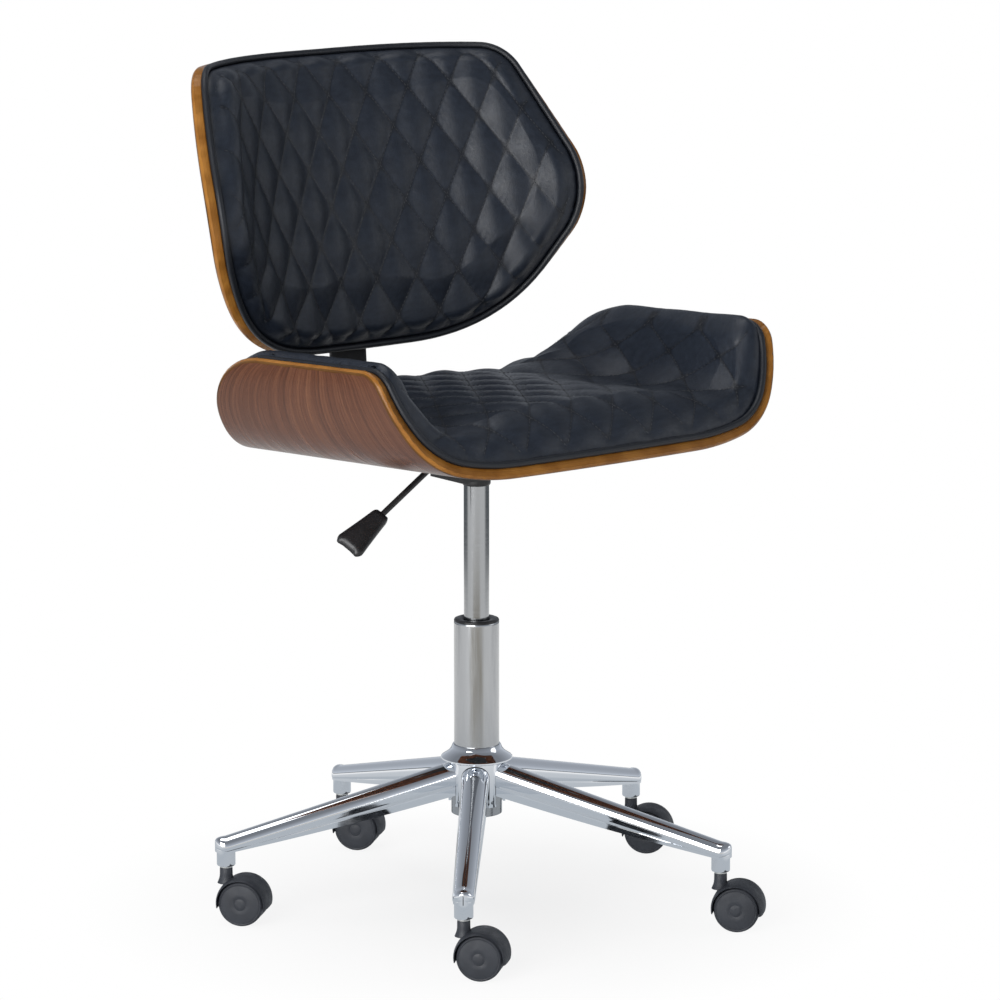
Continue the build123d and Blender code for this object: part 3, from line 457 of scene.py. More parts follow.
# %% Collar, tube, bush and cylinder
COLUMN_PIECES = (
    ("collar", "base", "chrome", chrome, "hub_collar", [
        (25.2, 165.2), (32.5, 165.2), (37.5, 165.9), (39.5, 167.2), (39.5, 168.6), (38.0, 170.2),
        (34.0, 172.6), (30.5, 175.6), (28.2, 179.2), (27.0, 182.2), (26.3, 183.0), (25.2, 183.0),
        (25.2, 165.2),
    ]),
    ("outer_tube", "base", "satin_steel", satin, "column_tube", [
        (5.3, 105.0), (24.2, 105.0), (25.0, 105.8), (25.0, 107.0), (25.0, 320.0), (25.0, 321.2),
        (24.6, 322.0), (23.5, 322.0), (23.5, 108.0), (5.3, 108.0), (5.3, 105.0),
    ]),
    ("tube_bush", "base", "black_plastic", bush_plastic, "column_bush", [
        (14.08, 292.5), (23.4, 292.5), (23.4, 322.2), (24.8, 322.2), (25.0, 323.0), (24.4, 324.4),
        (23.0, 325.0), (17.5, 325.0), (15.4, 324.2), (14.4, 322.8), (14.08, 322.0), (14.08, 292.5),
    ]),
    ("lift_cylinder", "seat", "satin_steel", polished, "gas_cylinder", [
        (12.5, 272.3), (14.0, 272.3), (14.0, 452.6), (13.9, 452.6), (13.9, 453.1), (14.0, 453.1),
        (14.0, 493.0), (4.1, 493.0), (4.1, 479.0), (12.5, 479.0), (12.5, 272.3),
    ]),
    ("taper_sleeve", "seat", "black_steel", powder, "taper_socket", [
        (14.06, 475.0), (14.8, 475.0), (15.6, 476.2), (15.7, 478.0), (15.7, 490.0), (14.06, 490.0),
        (14.06, 475.0),
    ]),
)
for name, body, slot, material, node, rings in COLUMN_PIECES:
    piece = turned(name, rings)
    smooth(piece, 32)
    dress(piece, body, slot, material, node)
    print(name, len(piece.data.polygons), "faces")

# %% [markdown]
# Pieces with a changing section, such as a leg or a bent board, start as a flat grid. Each crossing of the
# grid is then laid onto the form by a small rule, as one lays a net over a mould. The bend operator needs
# a window, and a rule also keeps the flat map of the sheet, which wood grain and quilting need.


# %% Reading and writing points
def read(piece, what="co"):
    """The places or the normals of all points, one row each."""
    values = np.empty((len(piece.data.vertices), 3))
    piece.data.vertices.foreach_get(what, values.ravel())
    return values


def write(piece, points):
    piece.data.vertices.foreach_set("co", points.ravel())
    piece.data.update()


# %% A grid laid on a form
def wrapped(name, columns, rows, place):
    """A grid laid onto a form, and the two shares of each crossing: place turns the shares into mm."""
    bpy.ops.object.select_all(action="DESELECT")
    bpy.ops.mesh.primitive_grid_add(x_subdivisions=columns, y_subdivisions=rows, size=1)
    piece = bpy.context.object
    piece.name = name
    u, v = read(piece)[:, :2].T + 0.5
    write(piece, np.column_stack(place(u, v)) * MM)
    return piece, u, v


def closed_tube(name, columns, rows, place):
    """A grid rolled up into a tube, with its seam joined and its ends capped."""
    piece = wrapped(name, columns, rows, place)[0]
    close_mesh(piece)
    close_rims(piece)
    print(name, len(piece.data.polygons), "faces")
    return piece


def thicken(piece, wall, offset, rim=0):
    """Give a sheet its wall with a Solidify modifier, and its rim a second finish."""
    pick(piece)
    solid = piece.modifiers.new("wall", "SOLIDIFY")
    solid.thickness = wall * MM
    solid.offset = offset
    solid.use_rim = True
    solid.use_quality_normals = True
    solid.material_offset_rim = rim
    bpy.ops.object.modifier_apply(modifier=solid.name)


# %% Soft steps and lines
def ease(value, start=0, run=1):
    """A soft step from 0 at the start to 1 at the end of the run."""
    value = np.clip((value - start) / run, 0, 1)
    return value * value * (3 - 2 * value)


def steps_along(points):
    """The length along a flat line up to each of its points."""
    return np.concatenate([[0], np.cumsum(np.hypot(*np.diff(points, axis=0).T))])


def between(where, steps, rows):
    """Rows of values, read at places between the given steps."""
    return np.column_stack([np.interp(where, steps, column) for column in rows.T])

# %% [markdown]
# The five legs are pressed from sheet and chromed: a half-round top, upright flanks with a shallow step,
# and an open underside. They taper towards the casters and end in a half round over the caster's sleeve.

# %% Legs
LEG_COUNT = 5
FIRST_LEG = -131
LEG_WALL, LEG_CELLS = 1.8, (60, 56)
LEG_START, LEG_END = 25, 285
ROOT_HALF, TIP_HALF = 13.5, 10.25
ROOT_BOTTOM, ROOT_TOP = 121, 163
TIP_BOTTOM, TIP_TOP = 80.3, 95.3
ARCH = 0.9
ROOT_HOLLOW = 8
END_SHARE, END_ROUND, END_WIDTH = 0.12, 3.2, 0.02
FLANK_STEP, STEP_AT, STEP_RUN = 0.7, 0.42, 0.06


def at_leg(index):
    return Matrix.Rotation(math.radians(FIRST_LEG + index * 360 / LEG_COUNT), 4, "Z")


def leg_place(along, around):
    """A leg along +X: half round above, upright flanks, and a half round over its outer end."""
    share = np.clip(along / (1 - END_SHARE), 0, 1)
    turn = np.clip((along - 1 + END_SHARE) / END_SHARE, 0, 1) * math.pi / 2
    half = (ROOT_HALF + share * (TIP_HALF - ROOT_HALF)) * np.maximum(np.cos(turn), END_WIDTH)
    bottom = ROOT_BOTTOM + share * (TIP_BOTTOM - ROOT_BOTTOM) + ROOT_HOLLOW * (1 - share) ** 2
    top = ROOT_TOP + share * (TIP_TOP - ROOT_TOP) - END_ROUND * (1 - np.cos(turn))
    spring = top - ARCH * half
    x = LEG_START + share * (LEG_END - LEG_START) + TIP_HALF * np.sin(turn)
    side = np.sign(around - 0.5)
    off = np.abs(around - 0.5) * 2
    on_arch = np.clip(off / 0.5, 0, 1) * math.pi / 2
    down = np.clip((off - 0.5) / 0.5, 0, 1)
    z = np.where(off < 0.5, spring + (top - spring) * np.cos(on_arch), spring + (bottom - spring) * down)
    y = half * np.sin(on_arch) - FLANK_STEP * np.cos(turn) * ease(down, STEP_AT, STEP_RUN)
    return x, side * y, z


def make_legs():
    leg = wrapped("leg_form", *LEG_CELLS, leg_place)[0]
    thicken(leg, LEG_WALL, 1 if leg.data.polygons[0].normal.y < 0 else -1)
    close_mesh(leg)
    smooth(leg, 50)
    for index in range(LEG_COUNT):
        piece = copy_of(leg, f"leg_{index + 1}", at_leg(index))
        dress(piece, "base", "chrome", chrome, f"base_leg_{index + 1}")
    print("legs", LEG_COUNT, "of", len(leg.data.polygons), "faces")
    bpy.data.objects.remove(leg)


make_legs()

# %% [markdown]
# Each caster has two hollow wheels on one axle, under a hood that is bent round them like a mudguard, and
# a neck that turns on the stem. The wheel, the neck and the web between the wheels are turned. The hood is
# a strip swept over the axle, and a union of the three makes one moulding.

# %% Wheel and hood
TRAIL, WHEEL_RADIUS = 20, 25
HOOD_LOW, HOOD_TURN, HOOD_CELLS = math.radians(-11), math.radians(202), (48, 60)
HOOD_SECTION = [
    (0, 29.0), (8, 28.9), (13, 28.55), (16.5, 27.95), (18.6, 27.25), (19.6, 26.5), (19.75, 26.0),
    (19.3, 25.8), (18.6, 26.1), (17.5, 26.45), (10, 26.5), (0, 26.5),
]
WEB_BORE, WEB_RADIUS, WEB_HALF, WEB_FROM = 3.1, 27.0, 3, 20


def wheel_form():
    wheel = turned("wheel_form", [
        (3.05, 11.0), (3.05, 0.0), (6.5, 0.0), (6.5, 11.5), (20.5, 11.5), (20.5, 0.0), (23.2, 0.0),
        (24.4, 0.5), (25.0, 1.8), (25.0, 11.6), (24.7, 13.0), (23.9, 14.1), (22.7, 14.75), (22.2, 14.65),
        (21.9, 14.35), (21.5, 14.35), (21.2, 14.75), (18.0, 15.35), (12.0, 15.95), (7.2, 16.2),
        (6.9, 16.0), (6.6, 16.0), (6.3, 16.25), (2.0, 16.4), (0.0, 16.4),
    ], 72)
    close_rims(wheel)
    return wheel


def hood_place(along, around):
    """The hood's section, swept round the axle."""
    half = np.array(HOOD_SECTION, float)
    loop = np.vstack([half, half[-2::-1] * (-1, 1)])
    steps = steps_along(loop)
    y, radius = between(around * steps[-1], steps, loop).T
    angle = HOOD_LOW + along * HOOD_TURN
    return TRAIL + radius * np.cos(angle), y, WHEEL_RADIUS + radius * np.sin(angle)


def unite(piece, other):
    pick(piece)
    union = piece.modifiers.new("union", "BOOLEAN")
    union.operation = "UNION"
    union.solver = "EXACT"
    union.object = other
    bpy.ops.object.modifier_apply(modifier=union.name)
    bpy.data.objects.remove(other)


def hood_form():
    hood = closed_tube("hood_form", *HOOD_CELLS, hood_place)
    neck = turned("neck_form", [
        (0.5, 44.6), (9.8, 44.6), (8.6, 47.5), (7.6, 50.5), (7.1, 54.0), (7.0, 61.0), (6.4, 61.8),
        (4.1, 61.8), (4.1, 46.0), (0.5, 46.0), (0.5, 44.6),
    ], 48)
    web = turned("web_form", [
        (WEB_BORE, -WEB_HALF), (WEB_RADIUS, -WEB_HALF), (WEB_RADIUS, WEB_HALF), (WEB_BORE, WEB_HALF),
        (WEB_BORE, -WEB_HALF),
    ], 64)
    lying = Matrix.Rotation(math.pi / 2, 4, "X")
    web.data.transform(Matrix.Translation((TRAIL * MM, 0, WHEEL_RADIUS * MM)) @ lying)
    low = (0, 0, WEB_FROM * MM)
    with editing(web):
        bpy.ops.mesh.bisect(plane_co=low, plane_no=(0, 0, 1), clear_inner=True, use_fill=True)
    unite(hood, web)
    unite(hood, neck)
    return hood


# %% Five casters
TRAIL_TURN = math.radians(-50.5)
WHEEL_INSIDE = 3.3


def make_casters():
    hood, wheel = hood_form(), wheel_form()
    for piece in (hood, wheel):
        smooth(piece, 38)
    sleeve = turned("sleeve_form", [
        (5.6, 64.3), (8.9, 64.3), (9.8, 64.7), (10.25, 65.8), (10.25, 80.6), (5.6, 80.6), (5.6, 64.3),
    ], 64)
    smooth(sleeve, 40)
    for index in range(LEG_COUNT):
        caster = f"caster_{index + 1}"
        end = at_leg(index) @ Vector((LEG_END * MM, 0, 0))
        turned_to = Matrix.Translation(end) @ Matrix.Rotation(TRAIL_TURN, 4, "Z")
        at_axle = turned_to @ Matrix.Translation((TRAIL * MM, 0, WHEEL_RADIUS * MM))
        cover = copy_of(hood, f"{caster}_cover", turned_to)
        dress(cover, caster, "black_plastic", caster_plastic, f"{caster}_hood")
        for side, sign in (("left", 1), ("right", -1)):
            outward = Matrix.Rotation(math.radians(-90 * sign), 4, "X")
            shift = Matrix.Translation((0, sign * WHEEL_INSIDE * MM, 0))
            tyre = copy_of(wheel, f"{caster}_{side}_tyre", at_axle @ shift @ outward)
            dress(tyre, f"{caster}_{side}", "black_plastic", caster_plastic, f"{caster}_wheel_{side}")
        piece = copy_of(sleeve, f"sleeve_{index + 1}", Matrix.Translation(end))
        dress(piece, "base", "chrome", chrome, "caster_sockets")
    print("casters", LEG_COUNT, "of", [len(form.data.polygons) for form in (hood, wheel, sleeve)], "faces")
    for form in (hood, wheel, sleeve):
        bpy.data.objects.remove(form)


make_casters()

# %% [markdown]
# The boards are flat plywood, bent in a press: a flat and a chain of round bends, the same on both sides.
# A rule gives the place of a point from its length along the sheet and its depth above the outer face.


# %% The bent sections
SEAT_FLAT = 124
SEAT_BENDS = ((300, 13), (92, 45), (160, 32))
BACK_BENDS = ((370, 20), (245, 46))
PLY = 12


def bent(along, depth, flat, bends):
    """Across, up and heading of a point at a signed length along the sheet and a depth above it."""
    side, left = np.sign(along), np.abs(along)
    x, z, heading, reach = np.minimum(left, flat), 0 * left, 0 * left, flat
    start = 0.0
    for number, (radius, degrees) in enumerate(bends):
        turn = math.radians(degrees)
        most = turn if number < len(bends) - 1 else math.pi
        angle = np.clip((left - reach) / radius, 0, most)
        x = x + radius * (np.sin(start + angle) - math.sin(start))
        z = z + radius * (math.cos(start) - np.cos(start + angle))
        heading = heading + angle
        start += turn
        reach += radius * turn
    return side * (x - depth * np.sin(heading)), z + depth * np.cos(heading), side * heading


def surface_length(along, depth, flat, bends):
    """Length along the sheet at a depth, where the bends are tighter."""
    side, left = np.sign(along), np.abs(along)
    length, reach = np.minimum(left, flat), flat
    for number, (radius, degrees) in enumerate(bends):
        arc = radius * math.radians(degrees)
        most = arc if number < len(bends) - 1 else 10 * arc
        length = length + np.clip(left - reach, 0, most) * (radius - depth) / radius
        reach += arc
    return side * length


SEAT_TILT, SEAT_Y, SEAT_HEIGHT = math.radians(3.5), -4.5, 517.5
BACK_RECLINE, BACK_Y, BACK_Z = math.radians(14.6), 251.8, 763.7


def on_seat(along, across, depth):
    x, up, _ = bent(along, depth, SEAT_FLAT, SEAT_BENDS)
    y = SEAT_Y + across * math.cos(SEAT_TILT) + up * math.sin(SEAT_TILT)
    return x, y, SEAT_HEIGHT - across * math.sin(SEAT_TILT) + up * math.cos(SEAT_TILT)


def on_back(along, height, depth):
    x, ahead, _ = bent(along, depth, 0, BACK_BENDS)
    y = BACK_Y - ahead * math.cos(BACK_RECLINE) + height * math.sin(BACK_RECLINE)
    return x, y, BACK_Z + ahead * math.sin(BACK_RECLINE) + height * math.cos(BACK_RECLINE)


# %% [markdown]
# Each outline is four curves on the flat sheet. The seat has an almost straight front, a round rear and
# two wings with rounded tops. The back is wide at the elbows, with round shoulders and a narrow foot.

# %% Outline of the seat
SEAT_FRONT, SEAT_FRONT_RADIUS = 225.5, 2283
SEAT_REAR, SEAT_REAR_RADIUS = 205, 472
WING_TOP, WING_FRONT_RADIUS = 120.5, 30
FRONT_STEPS, TOP_STEPS = 4000, 50
BEND_STARTS = np.cumsum([SEAT_FLAT] + [radius * math.radians(turn) for radius, turn in SEAT_BENDS])


def seat_curves():
    """Front, rear and the right wing's top, as points on the flat sheet."""
    along = np.linspace(0, BEND_STARTS[-1], FRONT_STEPS)
    x, z, heading = bent(along, 0, SEAT_FLAT, SEAT_BENDS)
    keep = z <= WING_TOP
    along, x, z, heading = along[keep], x[keep], z[keep], heading[keep]
    second, third = np.searchsorted(along, BEND_STARTS[1]), np.searchsorted(along, BEND_STARTS[2])
    front_reach = np.sqrt(SEAT_FRONT_RADIUS**2 - x**2)
    front = SEAT_FRONT_RADIUS - SEAT_FRONT - front_reach
    lean = x[second] / front_reach[second] / math.tan(heading[second])
    slope = math.hypot(1, lean)
    corner_z = WING_TOP - WING_FRONT_RADIUS
    corner_y = front[second] + lean * (corner_z - z[second]) + WING_FRONT_RADIUS * slope
    line = front[second] + lean * (z - z[second])
    rounding = corner_y - np.sqrt(np.maximum(WING_FRONT_RADIUS**2 - (z - corner_z) ** 2, 0))
    touch = corner_z + WING_FRONT_RADIUS * lean / slope
    front = np.where(along < along[second], front, np.where(z < touch, line, rounding))
    rear_reach = np.sqrt(SEAT_REAR_RADIUS**2 - x**2)
    rear = SEAT_REAR - SEAT_REAR_RADIUS + rear_reach
    turn = math.pi / 2 - math.atan(x[third] / rear_reach[third] / math.tan(heading[third]))
    radius = (WING_TOP - z[third]) / (1 - math.cos(turn))
    start = rear[third] - radius * math.sin(turn)
    arc = start + np.sqrt(np.maximum(radius**2 - (z - WING_TOP + radius) ** 2, 0))
    rear = np.where(along < along[third], rear, arc)
    top = np.column_stack([np.full(TOP_STEPS, along[-1]), np.linspace(front[-1], rear[-1], TOP_STEPS)])
    return np.column_stack([along, front]), np.column_stack([along, rear]), top


def mirrored_run(half):
    """A curve from the left end over the middle to the right end, from its right half."""
    return np.vstack([half[:0:-1] * (-1, 1), half])


def evenly(curve, count):
    steps = steps_along(curve)
    return between(np.linspace(0, steps[-1], count), steps, curve)


def ring_of(curves):
    """The closed outline, counter-clockwise, from its front, right, rear and left curves."""
    front, right, rear, left = curves
    return np.vstack([front[:-1], right[:-1], rear[::-1][:-1], left[::-1][:-1]])


front_half, rear_half, wing_top = seat_curves()
SEAT_CURVES = [mirrored_run(front_half), wing_top, mirrored_run(rear_half), wing_top * (-1, 1)]
print("seat reach", round(front_half[-1, 0], 1), "mm")

# %% Outline of the back
BACK_TOP, BACK_BOTTOM = 166, 168
BACK_SHOULDER, BACK_SHOULDER_RADIUS = 228, 58
BACK_ELBOW, BACK_ELBOW_HEIGHT, BACK_ELBOW_RADIUS = 315, -32, 82
BACK_HEEL, BACK_HEEL_RADIUS = 166, 240
TRIM = math.radians(48)
BACK_SHEET, SHEET_STEPS, CROWN_STEPS, SHOULDER_STEPS = 400, 4001, 400, 60


def rounded(before, corner, after, radius, count=60):
    """Points of a corner's rounding between two straight runs."""
    before, corner, after = (np.array(point, float) for point in (before, corner, after))
    one = (before - corner) / np.linalg.norm(before - corner)
    two = (after - corner) / np.linalg.norm(after - corner)
    half = math.acos(np.clip(one @ two, -1, 1)) / 2
    centre = corner + (one + two) / np.linalg.norm(one + two) * radius / math.sin(half)
    start = corner + one * radius / math.tan(half) - centre
    end = corner + two * radius / math.tan(half) - centre
    first = math.atan2(start[1], start[0])
    sweep = (math.atan2(end[1], end[0]) - first + math.pi) % (2 * math.pi) - math.pi
    angles = first + sweep * np.linspace(0, 1, count)
    return centre + radius * np.column_stack([np.cos(angles), np.sin(angles)])


def back_curves():
    """Foot, right side and top, as points on the flat sheet. The press cuts along a slant."""
    sheet = np.linspace(0, BACK_SHEET, SHEET_STEPS)
    x, ahead, _ = bent(sheet, -PLY, 0, BACK_BENDS)
    slant = x * math.cos(TRIM) + ahead * math.sin(TRIM)
    front_x, front_ahead, _ = bent(sheet, 0, 0, BACK_BENDS)
    cut = front_x * math.cos(TRIM) + front_ahead * math.sin(TRIM)
    shoulder, elbow, heel = (np.interp(place, sheet, cut) for place in (BACK_SHOULDER, BACK_ELBOW, BACK_HEEL))
    fall = np.interp(BACK_SHOULDER, sheet, front_ahead) * math.tan(BACK_RECLINE)
    radius = (shoulder**2 + fall**2) / (2 * fall)
    run = np.linspace(0, shoulder, CROWN_STEPS)
    crown = np.column_stack([run, BACK_TOP - radius + np.sqrt(radius**2 - run**2)])
    foot_middle, foot = (0, -BACK_BOTTOM), (heel, -BACK_BOTTOM)
    side, neck = (elbow, BACK_ELBOW_HEIGHT), (shoulder, BACK_TOP - fall)
    at_foot = rounded(foot_middle, foot, side, BACK_HEEL_RADIUS)
    at_elbow = rounded(foot, side, neck, BACK_ELBOW_RADIUS)
    at_shoulder = rounded(side, neck, crown[-SHOULDER_STEPS], BACK_SHOULDER_RADIUS)
    crown = crown[crown[:, 0] < at_shoulder[-1, 0]]
    half = np.vstack([[foot_middle], at_foot, at_elbow, at_shoulder, crown[::-1]])
    half[:, 0] = np.interp(half[:, 0], slant, sheet)
    corner_low = 1 + len(at_foot) // 2
    corner_high = 1 + len(at_foot) + len(at_elbow) + len(at_shoulder) // 2
    low = half[: corner_low + 1]
    right = half[corner_low : corner_high + 1]
    top = half[corner_high:][::-1]
    return low, right, top


low_half, right_side, top_half = back_curves()
BACK_CURVES = [mirrored_run(low_half), right_side, mirrored_run(top_half), right_side * (-1, 1)]
print("back reach", round(right_side[:, 0].max(), 1), "mm")


# %% Filling an outline with a net
NET_STEPS = 1500


def moved_in(curves, margin):
    """The four curves of an outline, moved inwards by a margin, or outwards by a negative one."""
    counts = [len(curve) for curve in curves]
    ring = ring_of(curves)
    tangent = np.roll(ring, -2, axis=0) - np.roll(ring, 2, axis=0)
    tangent /= np.linalg.norm(tangent, axis=1)[:, None]
    ring = ring + margin * np.column_stack([-tangent[:, 1], tangent[:, 0]])
    a, b, c = np.cumsum(counts)[:3] - (1, 2, 3)
    closed = np.vstack([ring, ring[:1]])
    front, right = closed[: a + 1], closed[a : b + 1]
    rear, left = closed[b : c + 1][::-1], closed[c:][::-1]
    return [front, right, rear, left]


def net_in(curves):
    """A rule that fills four curves with a smooth net, each curve at even steps."""
    front, right, rear, left = (evenly(curve, NET_STEPS) for curve in curves)
    share = np.linspace(0, 1, NET_STEPS)

    def place(u, v):
        across, up = u[:, None], v[:, None]
        sides = (1 - across) * between(v, share, left) + across * between(v, share, right)
        ends = (1 - up) * between(u, share, front) + up * between(u, share, rear)
        left_corners = (1 - up) * front[0] + up * rear[0]
        right_corners = (1 - up) * front[-1] + up * rear[-1]
        return sides + ends - ((1 - across) * left_corners + across * right_corners)

    return place


def flat_map(piece, name, points):
    """Store a place on the flat sheet, in metres, as the piece's map."""
    layer = piece.data.uv_layers.get(name) or piece.data.uv_layers.new(name=name)
    corners = np.empty(len(piece.data.loops), int)
    piece.data.loops.foreach_get("vertex_index", corners)
    layer.data.foreach_set("uv", (points[corners] * MM).ravel())
    layer.active = True


def store(piece, name, values):
    attribute = piece.data.attributes.get(name) or piece.data.attributes.new(name, "FLOAT", "POINT")
    attribute.data.foreach_set("value", np.asarray(values, np.float32))


# %% [markdown]
# A board is one sheet laid on its bend, thickened by its seven layers, with its cut edges rounded over and
# lacquered. The faces carry walnut, the rim shows the layers.


# %% Distance from the rim
RIM_STEPS = 2600


def rim_distance(curves, points):
    """Distance of each point from the outline, on the flat map."""
    ring = evenly(np.vstack([ring_of(curves), ring_of(curves)[:1]]), RIM_STEPS)
    tree = KDTree(len(ring))
    for number, (x, y) in enumerate(ring):
        tree.insert((x, y, 0), number)
    tree.balance()
    return np.array([tree.find((x, y, 0))[2] for x, y in points])


def crowded(share, most):
    """Shares of a net that lie closer together near both rims."""
    return share - most * np.sin(2 * math.pi * share) / (2 * math.pi)


# %% Boards
OUTER_ROUND, INNER_ROUND = 5.5, 1.5
SEAT_FLARE, BACK_FLARE = 3.5, 2.5
BOARD_CELLS, BOARD_CROWDING = (170, 96), 0.85
EDGE_SHARE = 0.9


def make_board(name, curves, on_form, depths, flare, node):
    """A board from its outline: its outer face reaches further by the flare, as cut on a slant."""
    outer, inner = depths
    outer_outline = moved_in(curves, -flare)

    def sheet_in(outline, u, v):
        return net_in(outline)(crowded(u, BOARD_CROWDING), crowded(v, BOARD_CROWDING))

    def face(u, v, outline, round_over, depth, inward):
        """One face of the board: its places, its layers and its distance from the rim."""
        sheet = sheet_in(outline, u, v)
        distance = rim_distance(outline, sheet)
        left = round_over - np.minimum(distance, round_over)
        depth = depth + inward * (round_over - np.sqrt(round_over**2 - left**2))
        return np.column_stack(on_form(*sheet.T, depth)), (depth - outer) / PLY, distance

    def outer_face(u, v):
        return face(u, v, outer_outline, OUTER_ROUND, outer, 1)

    board, u, v = wrapped(name, *BOARD_CELLS, lambda u, v: outer_face(u, v)[0].T)
    board.data.materials.append(walnut)
    board.data.materials.append(ply_edge)
    flat_map(board, "sheet", sheet_in(outer_outline, u, v))
    thicken(board, PLY, -1, 1)
    faces = outer_face(u, v), face(u, v, curves, INNER_ROUND, inner, -1)
    points, layers, distance = (np.concatenate(parts) for parts in zip(*faces))
    write(board, points * MM)
    store(board, "layer", layers)
    limit = np.repeat([OUTER_ROUND, INNER_ROUND], len(u))
    for polygon in board.data.polygons:
        corners = list(polygon.vertices)
        if np.mean(distance[corners] / limit[corners]) < EDGE_SHARE:
            polygon.material_index = 1
    close_mesh(board, 1e-9)
    smooth(board, 40)
    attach(board, "seat")
    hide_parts(node)
    print(name, len(board.data.polygons), "faces")


make_board("seat_board", SEAT_CURVES, on_seat, (0, PLY), SEAT_FLARE, "seat_shell")
make_board("back_board", BACK_CURVES, on_back, (-PLY, 0), BACK_FLARE, "back_shell")

# %% [markdown]
# Each pad is foam under leather, glued into its board. The cover is sewn through in diamonds, so each
# diamond stands up as a puff. The crown of the foam comes from a cloth simulation of the bare cover, blown
# up a little with its rim held. The diamonds are sewn in afterwards, on a finer net.

# %% Quilting
QUILT_ALONG = 42.65
SEAT_QUILT = (28.4, (0.61, 1.77))
BACK_QUILT = (26.0, (0.22, 0.82))
PUFF_REACH = 22.0
PUCKER_LENGTH, PUCKER_DRIFT, PUCKER_DRIFT_RATE = 8.0, 2.1, 0.08
PUCKER_FAR, PUCKER_NEAR = 5, 1.5


def quilt_distances(along, height, quilt):
    """Distance in mm to the nearest seam of each diagonal, and how far along that seam."""
    step, phases = quilt
    spacing = 1 / math.hypot(1 / step, 1 / QUILT_ALONG)
    one = along / step + height / QUILT_ALONG - phases[0]
    two = along / step - height / QUILT_ALONG - phases[1]
    near = [np.abs((turns + 1) % 2 - 1) * spacing for turns in (one, two)]
    return near, (two * spacing, one * spacing)


def puffs(along, height, quilt):
    """How far each point stands up, from 0 in a seam to 1 on a puff, and the small puckers beside seams."""
    near, runs = quilt_distances(along, height, quilt)
    full = 1
    pucker = 0
    for distance, run in zip(near, runs):
        full = full * (1 - (1 - np.clip(distance / PUFF_REACH, 0, 1)) ** 2)
        beside = np.exp(-distance / PUCKER_FAR) * (1 - np.exp(-distance / PUCKER_NEAR))
        drift = PUCKER_DRIFT * np.sin(run * PUCKER_DRIFT_RATE)
        wave = np.sin(2 * math.pi * run / PUCKER_LENGTH + drift)
        pucker = pucker + wave * beside
    return full, pucker


# %% [markdown]
# The foam gives a pad its main form. The seat's is high in the middle and rolls over at the front, fills
# the bends towards the rear and hangs softly over the tops of the wings. The back's is one even crown.

# %% Foam
ROLLED_SHARE, ROLLED_REACH = 0.44, 100
SHOULDER_POWER = 2.2
SEAT_FOAM, SEAT_HIGH, SEAT_FILL = 31, 23, 21
HIGH_INNER, HIGH_OUTER = 60, 225
REAR_DROP, REAR_DROP_FROM, REAR_DROP_RUN = 0.14, -140, 330
FILL_PLACE, FILL_SPREAD, FILL_FROM, FILL_RUN = 205, 60, -40, 160
SEAT_EDGE, FRONT_ROLL, REAR_ROLL_LOSS, ROLL_RUN = 14, 42, 28, 150
WING_BULGE, WING_FROM, WING_RUN = 15, 250, 60
BACK_FOAM, BACK_CROWN, BACK_EDGE, BACK_EDGE_MORE = 26, 10, 15, 9
BACK_CROWN_WIDE, BACK_CROWN_HIGH = 300, 185


def over_edge(on_map, fall):
    """Places on the map, with the length that the leather gains where it rolls over an edge."""
    gain = ROLLED_SHARE * fall * np.clip(on_map[:, 1] / ROLLED_REACH, -1, 1)
    return on_map + np.column_stack([0 * gain, gain])


def shoulder(distance, width):
    """The rounded edge of the foam, from 0 at the rim to 1 at its width."""
    left = 1 - np.clip(distance / width, 0, 1)
    return np.sqrt(np.maximum(1 - left**SHOULDER_POWER, 0))


def seat_foam(along, across):
    """Thickness of the foam and width of its rounded edge."""
    middle = 1 - ease(np.abs(along), HIGH_INNER, HIGH_OUTER - HIGH_INNER)
    high = SEAT_HIGH * middle * (1 - REAR_DROP * ease(across, REAR_DROP_FROM, REAR_DROP_RUN))
    bend = np.exp(-(((np.abs(along) - FILL_PLACE) / FILL_SPREAD) ** 2))
    fill = SEAT_FILL * bend * ease(across, FILL_FROM, FILL_RUN)
    roll = FRONT_ROLL - REAR_ROLL_LOSS * ease(across, 0, ROLL_RUN)
    return SEAT_FOAM + high + fill, SEAT_EDGE + middle * roll


def wing_bulge(along):
    """How far the pad's soft edge hangs over the top of a wing."""
    return WING_BULGE * ease(np.abs(along), WING_FROM, WING_RUN)


def no_bulge(along):
    return 0 * along


def back_foam(along, height):
    wide, high = along / BACK_CROWN_WIDE, height / BACK_CROWN_HIGH
    middle = np.clip(1 - wide**2, 0, 1) * np.clip(1 - high**2, 0, 1)
    return BACK_FOAM + BACK_CROWN * middle, BACK_EDGE + BACK_EDGE_MORE * middle


# %% The bare cover, blown up
COVER_PRESSURE, COVER_STIFFNESS, COVER_GROWTH = 4, 30, 0.01
COVER_FRAMES = 20
SMOOTHING_PASSES = 40


